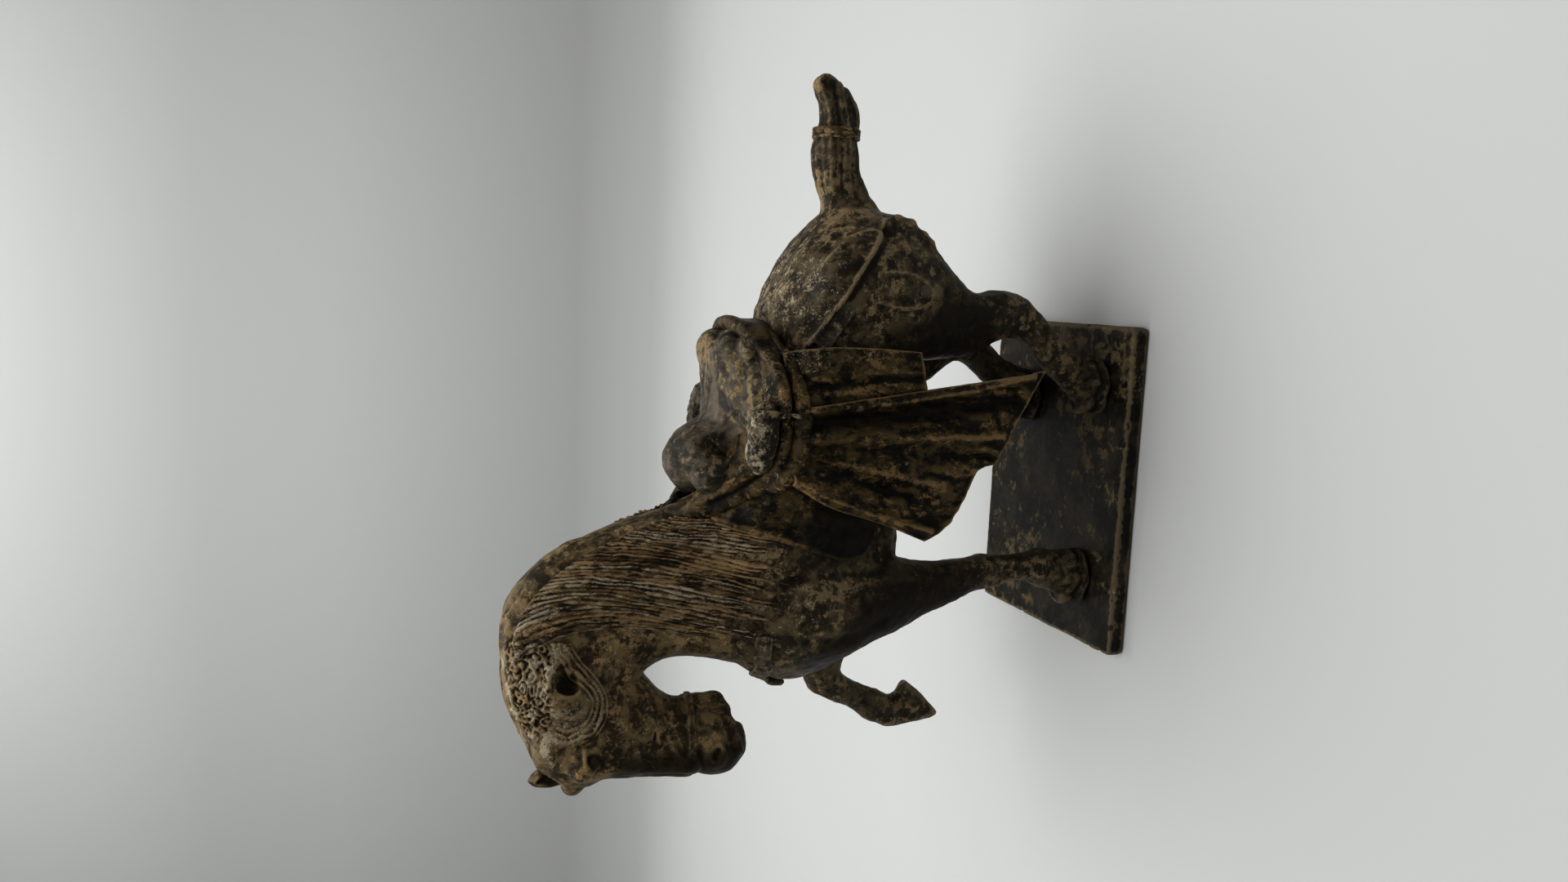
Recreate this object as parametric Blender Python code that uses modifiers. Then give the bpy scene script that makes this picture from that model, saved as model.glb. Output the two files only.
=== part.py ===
"""Cast-iron figure of a prancing Tang-style horse with saddle and cloth, on a plate.

The model stands on the underside of its plate: the origin is the centre of that face,
+Z is up, -X is where the horse walks and -Y is the horse's left side. Tables are in
millimetres. A casting is a loft: each station joins two points of the side outline,
(x, z) of the front or top line and (x, z) of the back or bottom line, with the
section's place across the horse, y, and its half width.
"""
import math

import bmesh
import bpy
from mathutils import Matrix, Vector
from mathutils.bvhtree import BVHTree

MM = 0.001
GAP = 0.3                     # clearance between pieces that touch
LIFT = 0.9                    # how far a sheet or strap stands off the casting under it
SIDES = 18                    # points around a casting's section
LIMB_SIDES = 12               # points around a limb's, the core's or the tail's section
MID = -4.0                    # the horse's middle plane, across the plate

PLATE_LENGTH = 142.0
PLATE_WIDTH = 109.0
PLATE_HEIGHT = 7.8
PLATE_CORNER = 2.0
GROUND = PLATE_HEIGHT + GAP   # where the hooves start

WALL = 4.5                    # casting thickness of the hollow trunk
CORE_HOLE = 6.0               # radius of the sand core's hole in the belly
CORE_PLACE = (8.0, MID)
CORE_HOLE_LOW = 70            # the hole is cut from below the belly up into the core
CORE_HOLE_HIGH = 110
PLUG_BOTTOM = 86.2            # the plug that closes the core's hole
PLUG_TOP = 90.2

SCREW_RADIUS = 2.0
SCREW_HEAD_RADIUS = 3.8
SCREW_HEAD_HEIGHT = 3.2
SCREW_LENGTH = 15.0
SCREW_HEAD_LOW = 0.8          # how far a screw's head is sunk in the plate
SCREW_CHAMFER = 0.5
KEY_RADIUS = 1.6              # the hexagon socket in the head
KEY_DEPTH = 1.8
HOOF_SCREWS = {"fore_left": (-41.0, -27.0), "hind_left": (44.5, -31.0), "hind_right": (35.5, 22.0)}

TRUNK = [
    (-83, 149, -83, 127, MID, 12), (-77, 163, -76, 112, MID, 22), (-67, 175, -65, 99, MID, 29),
    (-47, 184, -47, 92, MID, 33), (-24, 187, -24, 91, MID, 34), (0, 174, 0, 91, MID, 35),
    (24, 161, 24, 92, MID, 35), (48, 157, 48, 93, MID, 34), (71, 155.5, 68, 90, MID, 34),
    (91, 147, 86, 87, MID, 32), (105, 137, 99, 88, MID, 27), (113, 129, 108, 95, MID, 19),
]
TRUNK_DOMES = (3, 5)                              # how far each end of a loft bulges
NECK_DOMES = (0, 5)
HEAD_DOMES = (5, 3)
TAIL_DOMES = (0, 4)
TAIL_ROOT_DOMES = (3, 4)
PAD_DOMES = (3, 3)
SADDLE_DOMES = (4, 4)
NECK = [
    (-83, 138, -2, 174, MID, 29), (-82, 152, -9, 189, MID, 27), (-77, 164, -14, 205, -4.5, 24.5),
    (-74, 176, -20, 223, -5, 21), (-72.5, 187, -31, 241.5, -6, 18), (-74.5, 197, -48, 253.5, -7, 16),
    (-81, 204, -67, 258.5, -8.5, 15), (-89, 208, -87, 256, -10, 14.5), (-96, 209, -99, 249, -11, 13),
]
NECK_SEAM = (-47.0, MID, 176.5)
NECK_SEAM_DOWN = (0.467, 0, -0.884)              # the trunk's side of the seam
NECK_PIN_RADIUS = 9.0
NECK_PIN_REACH = 7.0                              # into the trunk
PIN_ROOT = 4.0                                    # how far a pin starts inside its own casting

HEAD = [                                          # along and up from the head's own centre
    (-11, 46, 34, 46, 0, 12), (-17, 38, 38, 34, 0, 15.5), (-19, 27, 36, 18, 0, 16.5),
    (-17.2, 13, 30, 6, 0, 13.5), (-15.8, 0, 19.5, -2, 0, 10.5), (-16, -12, 14.5, -10, 0, 8.8),
    (-17.4, -23, 15.4, -20, 0, 9), (-17.4, -31, 13.6, -28, 0, 9.4), (-13, -37, 6.5, -34.5, 0, 7.6),
]
HEAD_CENTRE = (-103.0, -14.0, 198.0)
HEAD_TURN = math.radians(30)                      # towards the horse's left
EARS = {                                          # root and tip from the head's centre, and half width
    "ear_left": ((9, -17.6, 34), (36, -24, 42), 7.5),
    "ear_right": ((-5, 13, 37), (-11, 21, 50), 5.0),
}
EAR_WIDTHS = [(0, 0.55), (0.2, 0.92), (0.42, 1.0), (0.65, 0.78), (0.85, 0.42), (1.0, 0.1)]
EAR_FLAT = 0.42                                   # an ear's thickness over its width
EAR_SIDES = 12

FORELEG_LEFT_SEAM = ((-45, -24, 88), (0, 0, 1))  # a point of the seam and the trunk's side of it
FORELEG_RIGHT_SEAM = ((-87, 17, 111), (0.95, 0, 0.3))
HINDLEG_LEFT_SEAM = ((76, -26, 84), (0.25, 0, 0.97))
HINDLEG_RIGHT_SEAM = ((60, 18, 84), (0.25, 0, 0.97))
LEG_PIN_RADIUS = 4.5
LEG_PIN_REACH = 9.0
LEG_PIN_ROOT = 3.0

FORELEG_LEFT = [
    (-72, 120, -29, 120, -20, 11), (-65, 106, -29, 102, -24, 11), (-58, 92, -30.5, 92, -26, 9.8),
    (-52.5, 76, -32, 78, -27, 8.2), (-46, 61, -31, 61, -27, 6.6), (-44, 53, -30.5, 51, -27, 6.2),
    (-42.5, 44, -30.5, 43, -27, 5.6), (-42, 37, -30, 36, -27, 5.7), (-45.5, 28, -28.5, 28, -27, 7),
    (-48, 21, -29.5, 20, -27, 7.6), (-51, 15, -29, 15, -27, 10), (-54.5, GROUND, -28, GROUND, -27, 12),
]
FORELEG_RIGHT = [
    (-68, 130, -56, 100, 12, 11), (-86, 124, -78, 99, 16, 10), (-96, 120, -92, 102, 19, 8.5),
    (-103, 116, -98, 97, 20, 7.6), (-107.5, 108, -100.5, 93, 20, 6.8), (-112, 98, -102.5, 88, 20, 5.8),
    (-118, 88.5, -105, 81, 20, 5.8), (-124.5, 77, -108.5, 75.5, 20, 6.8),
    (-123.5, 69, -107.5, 71.5, 20, 7), (-122, 60, -105.5, 70, 20, 8.5), (-119.5, 49, -101.5, 67, 20, 11.5),
]
HINDLEG = [                                       # y is out from the middle plane here
    (60, 132, 113, 117, 13, 15), (56.5, 112, 113, 105, 17, 16), (54, 97, 107, 96, 20, 15),
    (54, 84, 97, 87, 22, 12.8), (56.5, 70, 86.5, 77, 24, 10), (61.5, 60, 82, 68, 25, 8),
    (64, 52, 84, 57, 26, 7), (61, 45, 81, 46, 26.5, 6.4), (52.5, 37, 70, 34.5, 27, 6.2),
    (44.5, 28, 63, 26, 27, 7), (38.5, 20, 59.5, 19, 27, 7.8), (34.5, 15, 58, 15, 27, 10),
    (30.5, GROUND, 57, GROUND, 27, 12),
]
HINDLEG_RIGHT_STEP = -9.0                         # the right hind hoof stands this far ahead
HINDLEG_RIGHT_BEND = -9.0                         # and its gaskin this much further
TAIL = [
    (108, 131, 108, 101, MID, 10), (116, 130.5, 117, 106, MID, 9.2), (123, 132.5, 125, 112.5, MID, 8.4),
    (131, 135, 134, 115.5, MID, 8.2), (139, 135.4, 142, 116.6, MID, 8.6), (145, 133.5, 148, 115.8, MID, 8),
    (150, 132, 155, 116.6, MID, 7.4), (155.5, 132.5, 162, 121, MID, 6.4), (161, 135.5, 167.5, 128, MID, 4.8),
]
TAIL_SEAM = 118.5
TAIL_AXIS = 118.0                                 # height of the tail's pin
TAIL_PIN_RADIUS = 4.0
TAIL_PIN_REACH = 9.0
TIE_FRONT = 142.5                                 # the cord around the tail
TIE_BACK = 147.0
TIE_PROUD = 1.5

BLANKET_THICK = 2.0
BLANKET_OUTLINE = [(-12, 205), (-12, 181), (-19, 152), (-27, 130), (-26, 119), (-17, 112),
                   (30, 109), (51, 113), (54, 140), (56, 205)]
PAD = [
    (-11, 192, -7, 178, MID, 14), (-4, 185, 1, 168, MID, 25), (6, 178, 8, 158, MID, 33),
    (18, 172, 18, 150, MID, 38), (32, 169, 32, 148, MID, 40), (46, 168, 46, 150, MID, 39),
    (58, 168, 58, 154, MID, 33), (65, 166, 65, 158, MID, 25),
]
SADDLE = [
    (-3, 186, 0, 170, MID, 9), (3, 191, 4, 167, MID, 13), (11, 193, 11, 165, MID, 15),
    (19, 187, 19, 164, MID, 15), (26, 178.5, 26, 163, MID, 17), (35, 176, 35, 162, MID, 21),
    (45, 177, 45, 162, MID, 24.5), (53, 177, 53, 162, MID, 24), (59, 172, 59, 163, MID, 18),
]
BEDROLL = ((12.0, -38.0, 165.5), (35.0, -38.5, 164.0))
BEDROLL_RADIUS = 6.8
BEDROLL_WIDTHS = [(0, 0.45), (0.05, 0.8), (0.16, 1), (0.5, 1.03), (0.84, 1), (0.95, 0.8), (1, 0.45)]
BEDROLL_SIDES = 16

CLOTH_THICK = 2.2
CLOTH_TOP = 150.5
CLOTH_FRONT_TOP = [(6, CLOTH_TOP), (35, CLOTH_TOP)]
CLOTH_FRONT_HEM = [(-17.5, 98), (-10, 87), (1, 80.6), (11, 77), (14, 68.5), (30, 61), (52, 49.5)]
CLOTH_REAR_TOP = [(30, CLOTH_TOP), (60, CLOTH_TOP)]
CLOTH_REAR_HEM = [(38, 99), (58, 102)]
CLOTH_TUCK = 3.0                                  # the rear panel starts this much further in
CLOTH_OUT = 41.6                                  # from the middle plane to the cloth's top edge
CLOTH_FLARE = 0.07                                # how much further out it hangs for each mm down
FOLD_DEPTH = 0.016                               # half a fold, for each mm down

MANE_CREST = [(-63, 254.5), (-49, 249.5), (-36, 237.5), (-26, 221), (-19, 204), (-13.5, 188)]
MANE_ENDS = [(-60, 172), (-56, 158), (-44, 150), (-30, 149), (-21, 152)]
MANE_THICK = 3.0
FORELOCK_THICK = 2.2
ABOVE = 290                                       # higher than every piece

# Straps: width, thickness and a route beside the castings, which it is then laid on.
BREAST_STRAP = (6.5, 1.4, [(-62, -44, 160), (-74, -38, 159), (-88, -22, 157), (-95, MID, 155),
                           (-88, 14, 157), (-74, 30, 159), (-62, 36, 160)])
CRUPPER = (7, 1.5, [(59, 40, 143), (80, 40, 130), (104, 30, 119)])       # y out from the middle plane
NOSEBAND = (3.2, 1.2, [(17, -3, -15), (6, -13, -14.5), (-8, -13, -14), (-20, -5, -13.5),
                       (-20, 5, -13.5), (-8, 13, -14), (6, 13, -14.5), (17, 3, -15)])
NOSEBAND_LIFT = 0.6
PENDANT = ((-94, MID, 142), (3.4, 4.6, 1.6))      # place and half sizes
LEAF = ((81, 45, 108), (5, 10, 1.7))
PENDANT_LIFT = 2.6


def metres(point):
    return Vector(point) * MM


def new_object(name, mesh, group, material=None):
    obj = bpy.data.objects.new(name, mesh)
    group.objects.link(obj)
    if material:
        mesh.materials.append(material)
    if group.name == "cutters":
        obj.hide_render = True
        obj.display_type = "WIRE"
    return obj


def metal(name, colour, roughness, metallic):
    material = bpy.data.materials.new(name)
    material.use_nodes = True
    shader = material.node_tree.nodes["Principled BSDF"]
    shader.inputs["Base Color"].default_value = (*colour, 1)
    shader.inputs["Roughness"].default_value = roughness
    shader.inputs["Metallic"].default_value = metallic
    return material


def smooth(stations, spans):
    """The stations with spans - 1 more between each pair, on Catmull-Rom curves."""
    ends = [stations[0], *stations, stations[-1]]
    rings = []
    for i in range(1, len(ends) - 2):
        before, start, stop, after = ends[i - 1:i + 3]
        for k in range(spans):
            t = k / spans
            rings.append(tuple(
                0.5 * (2 * b + (c - a) * t + (2 * a - 5 * b + 4 * c - d) * t * t
                       + (3 * b - 3 * c + d - a) * t ** 3)
                for a, b, c, d in zip(before, start, stop, after)))
    return rings + [tuple(stations[-1])]


def section(station, grow, scale, shift, sides):
    """One closed ring of the loft, shrunk by scale and moved by shift."""
    xa, za, xb, zb, y, width = station
    half = Vector(((xb - xa) / 2, 0, (zb - za) / 2))
    half *= (half.length + grow) / half.length
    centre = Vector(((xa + xb) / 2, y, (za + zb) / 2)) + shift
    ring = []
    for k in range(sides):
        turn = 2 * math.pi * k / sides
        along, across = (math.copysign(abs(f) ** 0.87, f) for f in (math.cos(turn), math.sin(turn)))
        ring.append(centre + scale * (half * along + Vector((0, (width + grow) * across, 0))))
    return ring


def loft(name, stations, group, material=None, domes=(0, 0), grow=0.0, spans=2, sides=SIDES):
    """A closed solid through the stations, with a dome of the given depth at each end."""
    rings = smooth(stations, spans)
    middles = [Vector(((s[0] + s[2]) / 2, s[4], (s[1] + s[3]) / 2)) for s in rings]
    first = (middles[0] - middles[1]).normalized()
    last = (middles[-1] - middles[-2]).normalized()
    start = [(math.cos(a), math.sin(a)) for a in (1.25, 0.85, 0.42)] if domes[0] else []
    stop = [(math.cos(a), math.sin(a)) for a in (0.42, 0.85, 1.25)] if domes[1] else []
    loops = [section(rings[0], grow, c, first * (domes[0] + grow) * s, sides) for c, s in start]
    loops += [section(ring, grow, 1, Vector(), sides) for ring in rings]
    loops += [section(rings[-1], grow, c, last * (domes[1] + grow) * s, sides) for c, s in stop]
    return skin(name, loops, group, material)


def skin(name, loops, group, material=None):
    """Quads between rings of points in millimetres, with a flat face over each end."""
    form = bmesh.new()
    rows = [[form.verts.new(point * MM) for point in loop] for loop in loops]
    for low, high in zip(rows, rows[1:]):
        for k in range(len(low)):
            nxt = (k + 1) % len(low)
            form.faces.new((low[k], low[nxt], high[nxt], high[k]))
    form.faces.new(rows[0][::-1])
    form.faces.new(rows[-1])
    bmesh.ops.recalc_face_normals(form, faces=form.faces)
    if form.calc_volume(signed=True) < 0:
        bmesh.ops.reverse_faces(form, faces=form.faces)
    mesh = bpy.data.meshes.new(name)
    form.to_mesh(mesh)
    form.free()
    mesh.shade_smooth()
    mesh.set_sharp_from_angle(angle=math.radians(50))
    return new_object(name, mesh, group, material)


def mirrored(stations, middle):
    """The same stations on the other side of the plane at y = middle."""
    return [(*s[:4], 2 * middle - s[4], s[5]) for s in stations]


def cut_off(obj, point, normal):
    """Removes what lies on the normal's side of a plane and closes the cut."""
    form = bmesh.new()
    form.from_mesh(obj.data)
    cut = bmesh.ops.bisect_plane(form, geom=[*form.verts, *form.edges, *form.faces],
                                 plane_co=metres(point), plane_no=normal, clear_outer=True)
    rim = [e for e in cut["geom_cut"] if isinstance(e, bmesh.types.BMEdge)]
    bmesh.ops.contextual_create(form, geom=rim)
    bmesh.ops.recalc_face_normals(form, faces=form.faces)
    form.to_mesh(obj.data)
    form.free()
    return obj


def combine(obj, other, operation):
    step = obj.modifiers.new(operation.lower(), "BOOLEAN")
    step.operation = operation
    step.solver = "EXACT"
    step.object = other
    return obj


def baked(obj):
    """Applies the modifiers, so that other pieces can be measured against this one."""
    graph = bpy.context.evaluated_depsgraph_get()
    mesh = bpy.data.meshes.new_from_object(obj.evaluated_get(graph))
    obj.modifiers.clear()
    obj.data = mesh
    return obj


def rod(name, start, stop, radius, group, sides=12):
    """A cylinder between two points in millimetres."""
    axis = metres(stop) - metres(start)
    form = bmesh.new()
    bmesh.ops.create_cone(form, cap_ends=True, segments=sides, radius1=radius * MM, radius2=radius * MM,
                          depth=axis.length)
    turn = axis.to_track_quat("Z", "Y").to_matrix().to_4x4()
    form.transform(Matrix.Translation((metres(start) + metres(stop)) / 2) @ turn)
    mesh = bpy.data.meshes.new(name)
    form.to_mesh(mesh)
    form.free()
    return new_object(name, mesh, group)


def prism(name, outline, low, high, group):
    """An outline of (x, z) points, extruded across the horse from y = low to y = high."""
    return skin(name, [[Vector((x, y, z)) for x, z in outline] for y in (low, high)], group)


def surface_of(*objects):
    """One search tree over the skins of several objects."""
    points, faces = [], []
    for obj in objects:
        first = len(points)
        points += [v.co.copy() for v in obj.data.vertices]
        faces += [tuple(first + i for i in f.vertices) for f in obj.data.polygons]
    return BVHTree.FromPolygons(points, faces)


def sheet(name, grid, thick, group, material):
    """A closed slab from a grid of (point, outward normal) rows, thick along the normal."""
    form = bmesh.new()
    inner = [[form.verts.new(p * MM) for p, n in row] for row in grid]
    outer = [[form.verts.new((p + n * thick) * MM) for p, n in row] for row in grid]
    rows, columns = len(grid), len(grid[0])
    for i in range(rows - 1):
        for j in range(columns - 1):
            for layer in (inner, outer):
                form.faces.new((layer[i][j], layer[i][j + 1], layer[i + 1][j + 1], layer[i + 1][j]))
    rim = [(i, 0) for i in range(rows)] + [(rows - 1, j) for j in range(1, columns)]
    rim += [(i, columns - 1) for i in range(rows - 2, -1, -1)] + [(0, j) for j in range(columns - 2, 0, -1)]
    for (i, j), (k, m) in zip(rim, rim[1:] + rim[:1]):
        form.faces.new((inner[i][j], inner[k][m], outer[k][m], outer[i][j]))
    bmesh.ops.recalc_face_normals(form, faces=form.faces)
    if form.calc_volume(signed=True) < 0:
        bmesh.ops.reverse_faces(form, faces=form.faces)
    mesh = bpy.data.meshes.new(name)
    form.to_mesh(mesh)
    form.free()
    mesh.shade_smooth()
    mesh.set_sharp_from_angle(angle=math.radians(40))
    return new_object(name, mesh, group, material)


def draped(tree, points, direction, lift=LIFT):
    """A grid of points thrown along a direction onto the skin under them."""
    grid = []
    for row in points:
        cells = []
        for point in row:
            for step in (0, 2 * GAP):                 # the second try misses a seam's gap
                start = metres(point) + Vector((0, 0, step * MM))
                place, normal, _, _ = tree.ray_cast(start, Vector(direction))
                if place is not None:
                    break
            cells.append((place / MM + normal * lift, normal))
        grid.append(cells)
    return grid


def patch(top, bottom, rows, columns, y):
    """A grid between two polylines of (x, z), each read at equal steps of its length."""
    upper, lower = along(top, columns), along(bottom, columns)
    return [[(a[0] + (b[0] - a[0]) * r / (rows - 1), y, a[1] + (b[1] - a[1]) * r / (rows - 1))
             for a, b in zip(upper, lower)] for r in range(rows)]


def along(line, count):
    """count points at equal steps along a polyline."""
    line = [Vector(p) for p in line]
    reach = [0.0]
    for a, b in zip(line, line[1:]):
        reach.append(reach[-1] + (b - a).length)
    places = []
    for k in range(count):
        want = reach[-1] * k / (count - 1)
        i = max(j for j in range(len(line) - 1) if reach[j] <= want + 1e-9)
        places.append(line[i].lerp(line[i + 1], (want - reach[i]) / (reach[i + 1] - reach[i])))
    return places


def strap(name, tree, route, width, thick, group, material, count=18, lift=LIFT):
    """A flat band on a casting: each point of its route is moved to the nearest skin."""
    middles = []
    for point in along(route, count):
        place, normal, _, _ = tree.find_nearest(metres(point))
        middles.append((place / MM, normal))
    grid = [[], [], []]
    for k, (place, normal) in enumerate(middles):
        ahead = middles[min(k + 1, count - 1)][0] - middles[max(k - 1, 0)][0]
        side = normal.cross(ahead).normalized() * width / 2
        for row, step in zip(grid, (-1, 0, 1)):
            foot, skin_normal, _, _ = tree.find_nearest((place + side * step + normal * 0.5) * MM)
            row.append((foot / MM + skin_normal * lift, skin_normal))
    return sheet(name, grid, thick, group, material)


def seam_cut(name, stations, seam, trunk, parts, cutters, iron):
    """One limb: its root joins the trunk, and the rest is a section with a pin into the root."""
    point, toward = Vector(seam[0]), Vector(seam[1]).normalized()
    root = loft(f"{name}_root", stations, cutters, sides=LIMB_SIDES)
    combine(trunk, cut_off(root, point, -toward), "UNION")
    foot = point - toward * GAP
    limb = cut_off(loft(name, stations, parts, iron, sides=LIMB_SIDES), foot, toward)
    pin_root = foot - toward * LEG_PIN_ROOT
    pin = rod(f"{name}_pin", pin_root, foot + toward * LEG_PIN_REACH, LEG_PIN_RADIUS, cutters)
    socket_end = foot + toward * (LEG_PIN_REACH + GAP)
    socket = rod(f"{name}_socket", pin_root, socket_end, LEG_PIN_RADIUS + GAP, cutters)
    combine(limb, pin, "UNION")
    return limb, socket


def hind_stations(side):
    """The hind leg's stations on one side: -1 is left, 1 is right and stands further ahead."""
    stations = []
    for i, s in enumerate(HINDLEG):
        bent = HINDLEG_RIGHT_BEND * max(0, 1 - abs(i - 4) / 4)
        step = HINDLEG_RIGHT_STEP * min(1, i / 3) + bent if side > 0 else 0
        inward = 1.0 if side > 0 else 0.0
        stations.append((s[0] + step, s[1], s[2] + step, s[3], MID + side * s[4] - inward, s[5]))
    return stations


def build_castings(parts, cutters, iron):
    """Trunk with the roots of the neck and legs, and the sections that join on to it."""
    trunk = loft("trunk_casting", TRUNK, parts, iron, domes=TRUNK_DOMES)
    combine(trunk, loft("neck_root", NECK, cutters), "UNION")
    limbs = {
        "foreleg_left": (FORELEG_LEFT, FORELEG_LEFT_SEAM),
        "foreleg_right": (FORELEG_RIGHT, FORELEG_RIGHT_SEAM),
        "hindleg_left": (hind_stations(-1), HINDLEG_LEFT_SEAM),
        "hindleg_right": (hind_stations(1), HINDLEG_RIGHT_SEAM),
    }
    sockets = []
    castings = {"trunk": trunk}
    for name, (stations, seam) in limbs.items():
        castings[name], socket = seam_cut(name, stations, seam, trunk, parts, cutters, iron)
        sockets.append(socket)
    tail_root = loft("tail_root", TAIL, cutters, domes=TAIL_ROOT_DOMES, sides=LIMB_SIDES)
    cut_off(tail_root, (TAIL_SEAM, MID, TAIL_AXIS), (1, 0, 0))
    combine(trunk, tail_root, "UNION")
    up = -Vector(NECK_SEAM_DOWN)
    cut_off(baked(trunk), NECK_SEAM, up)
    hollow = loft("trunk_core", TRUNK[1:-1], cutters, grow=-WALL, spans=1, sides=LIMB_SIDES)
    cut_off(hollow, Vector(NECK_SEAM) - up * WALL * 2, up)
    x, y = CORE_PLACE
    core_hole = rod("core_hole", (x, y, CORE_HOLE_LOW), (x, y, CORE_HOLE_HIGH), CORE_HOLE, cutters)
    for cutter in (hollow, core_hole, *sockets, *pins_of_neck_and_tail(cutters, GAP)):
        combine(trunk, cutter, "DIFFERENCE")
    baked(trunk)

    neck = cut_off(loft("neck_casting", NECK, parts, iron, domes=NECK_DOMES),
                   Vector(NECK_SEAM) + up * GAP, -up)
    tail = loft("tail_casting", TAIL, parts, iron, domes=TAIL_DOMES, sides=LIMB_SIDES)
    cut_off(tail, (TAIL_SEAM + GAP, MID, TAIL_AXIS), (-1, 0, 0))
    neck_pin, tail_pin = pins_of_neck_and_tail(cutters, 0)
    combine(neck, neck_pin, "UNION")
    combine(neck, head_loft("head_space", cutters, grow=GAP), "DIFFERENCE")
    combine(tail, tail_pin, "UNION")
    castings["neck"] = baked(neck)
    castings["tail"] = baked(tail)
    castings["head"] = head_loft("head_casting", parts, iron)
    plug = rod("core_plug", (x, y, PLUG_BOTTOM), (x, y, PLUG_TOP), CORE_HOLE - GAP, parts)
    plug.data.materials.append(iron)
    return castings


def pins_of_neck_and_tail(cutters, grow):
    """The pins that register the neck and the tail, or with grow their sockets."""
    down = Vector(NECK_SEAM_DOWN)
    label = "socket" if grow else "pin"
    start = Vector(NECK_SEAM)
    neck = rod(f"neck_{label}", start - down * PIN_ROOT, start + down * (NECK_PIN_REACH + grow),
               NECK_PIN_RADIUS + grow, cutters, 16)
    tail = rod(f"tail_{label}", (TAIL_SEAM - TAIL_PIN_REACH - grow, MID, TAIL_AXIS),
               (TAIL_SEAM + LEG_PIN_ROOT, MID, TAIL_AXIS), TAIL_PIN_RADIUS + grow, cutters)
    return neck, tail


def to_head(point):
    """A point given along, across and up from the head's centre, in the horse's frame."""
    return Vector(HEAD_CENTRE) + Matrix.Rotation(HEAD_TURN, 3, "Z") @ Vector(point)


def head_loft(name, group, material=None, grow=0.0):
    head = loft(name, HEAD, group, material, domes=HEAD_DOMES, grow=grow)
    place = Matrix.Translation(metres(HEAD_CENTRE)) @ Matrix.Rotation(HEAD_TURN, 4, "Z")
    head.data.transform(place)
    return head


def build_ears(parts, cutters, iron):
    """Two leaf-shaped ears: the left one lies back, the right one points up and forward."""
    head_space = head_loft("ear_head_space", cutters, grow=GAP)
    neck_space = loft("ear_neck_space", NECK, cutters, domes=NECK_DOMES, grow=GAP)
    for name, (root, tip, radius) in EARS.items():
        start, stop = to_head(root), to_head(tip)
        axis = (stop - start).normalized()
        side = axis.cross(Vector((0, 0, 1))).normalized()
        broad, flat = side.cross(axis) * radius, side * EAR_FLAT * radius
        loops = []
        for t, wide in EAR_WIDTHS:
            centre = start.lerp(stop, t)
            turns = (2 * math.pi * k / EAR_SIDES for k in range(EAR_SIDES))
            loops.append([centre + (broad * math.cos(a) + flat * math.sin(a)) * wide for a in turns])
        ear = skin(name, loops, parts, iron)
        combine(ear, head_space, "DIFFERENCE")
        combine(ear, neck_space, "DIFFERENCE")
        baked(ear)


def build_hair(parts, cutters, castings, hair):
    """The mane's two falls, the forelock over the poll and the tie around the tail."""
    tree = surface_of(castings["neck"], castings["trunk"])
    for name, y, look in (("mane_left", -90, 1), ("mane_right", 90, -1)):
        points = patch(MANE_CREST, MANE_ENDS, 14, 9, y)
        mane = sheet(name, draped(tree, points, (0, look, 0)), MANE_THICK, parts, hair)
        neck_space = loft(f"{name}_neck_space", NECK, cutters, domes=NECK_DOMES, grow=GAP)
        combine(mane, neck_space, "DIFFERENCE")
    tree = surface_of(castings["neck"], castings["head"])
    points = [[(x, y, ABOVE) for y in range(-20, 7, 3)] for x in range(-101, -68, 4)]
    sheet("forelock", draped(tree, points, (0, 0, -1)), FORELOCK_THICK, parts, hair)


def build_tie(parts, cutters, hair):
    """The cord around the tail."""
    tie = loft("tail_tie", TAIL, parts, hair, grow=TIE_PROUD, sides=LIMB_SIDES)
    cut_off(tie, (TIE_FRONT, MID, TAIL_AXIS), (-1, 0, 0))
    cut_off(tie, (TIE_BACK, MID, TAIL_AXIS), (1, 0, 0))
    space = loft("tail_space", TAIL, cutters, domes=TAIL_DOMES, grow=GAP, sides=LIMB_SIDES)
    combine(tie, space, "DIFFERENCE")


def clear_of_horse(obj, grow, cutters):
    """Cuts the space of trunk, neck and haunches, grown by a distance, out of an object."""
    forms = {
        "trunk": (TRUNK, TRUNK_DOMES),
        "neck": (NECK, NECK_DOMES),
        "haunch_left": (hind_stations(-1), (0, 0)),
        "haunch_right": (hind_stations(1), (0, 0)),
        "shoulder_left": (FORELEG_LEFT, (0, 0)),
    }
    for label, (stations, domes) in forms.items():
        space = loft(f"{obj.name}_{label}_space", stations, cutters, domes=domes, grow=grow)
        combine(obj, space, "DIFFERENCE")
    return obj


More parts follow.
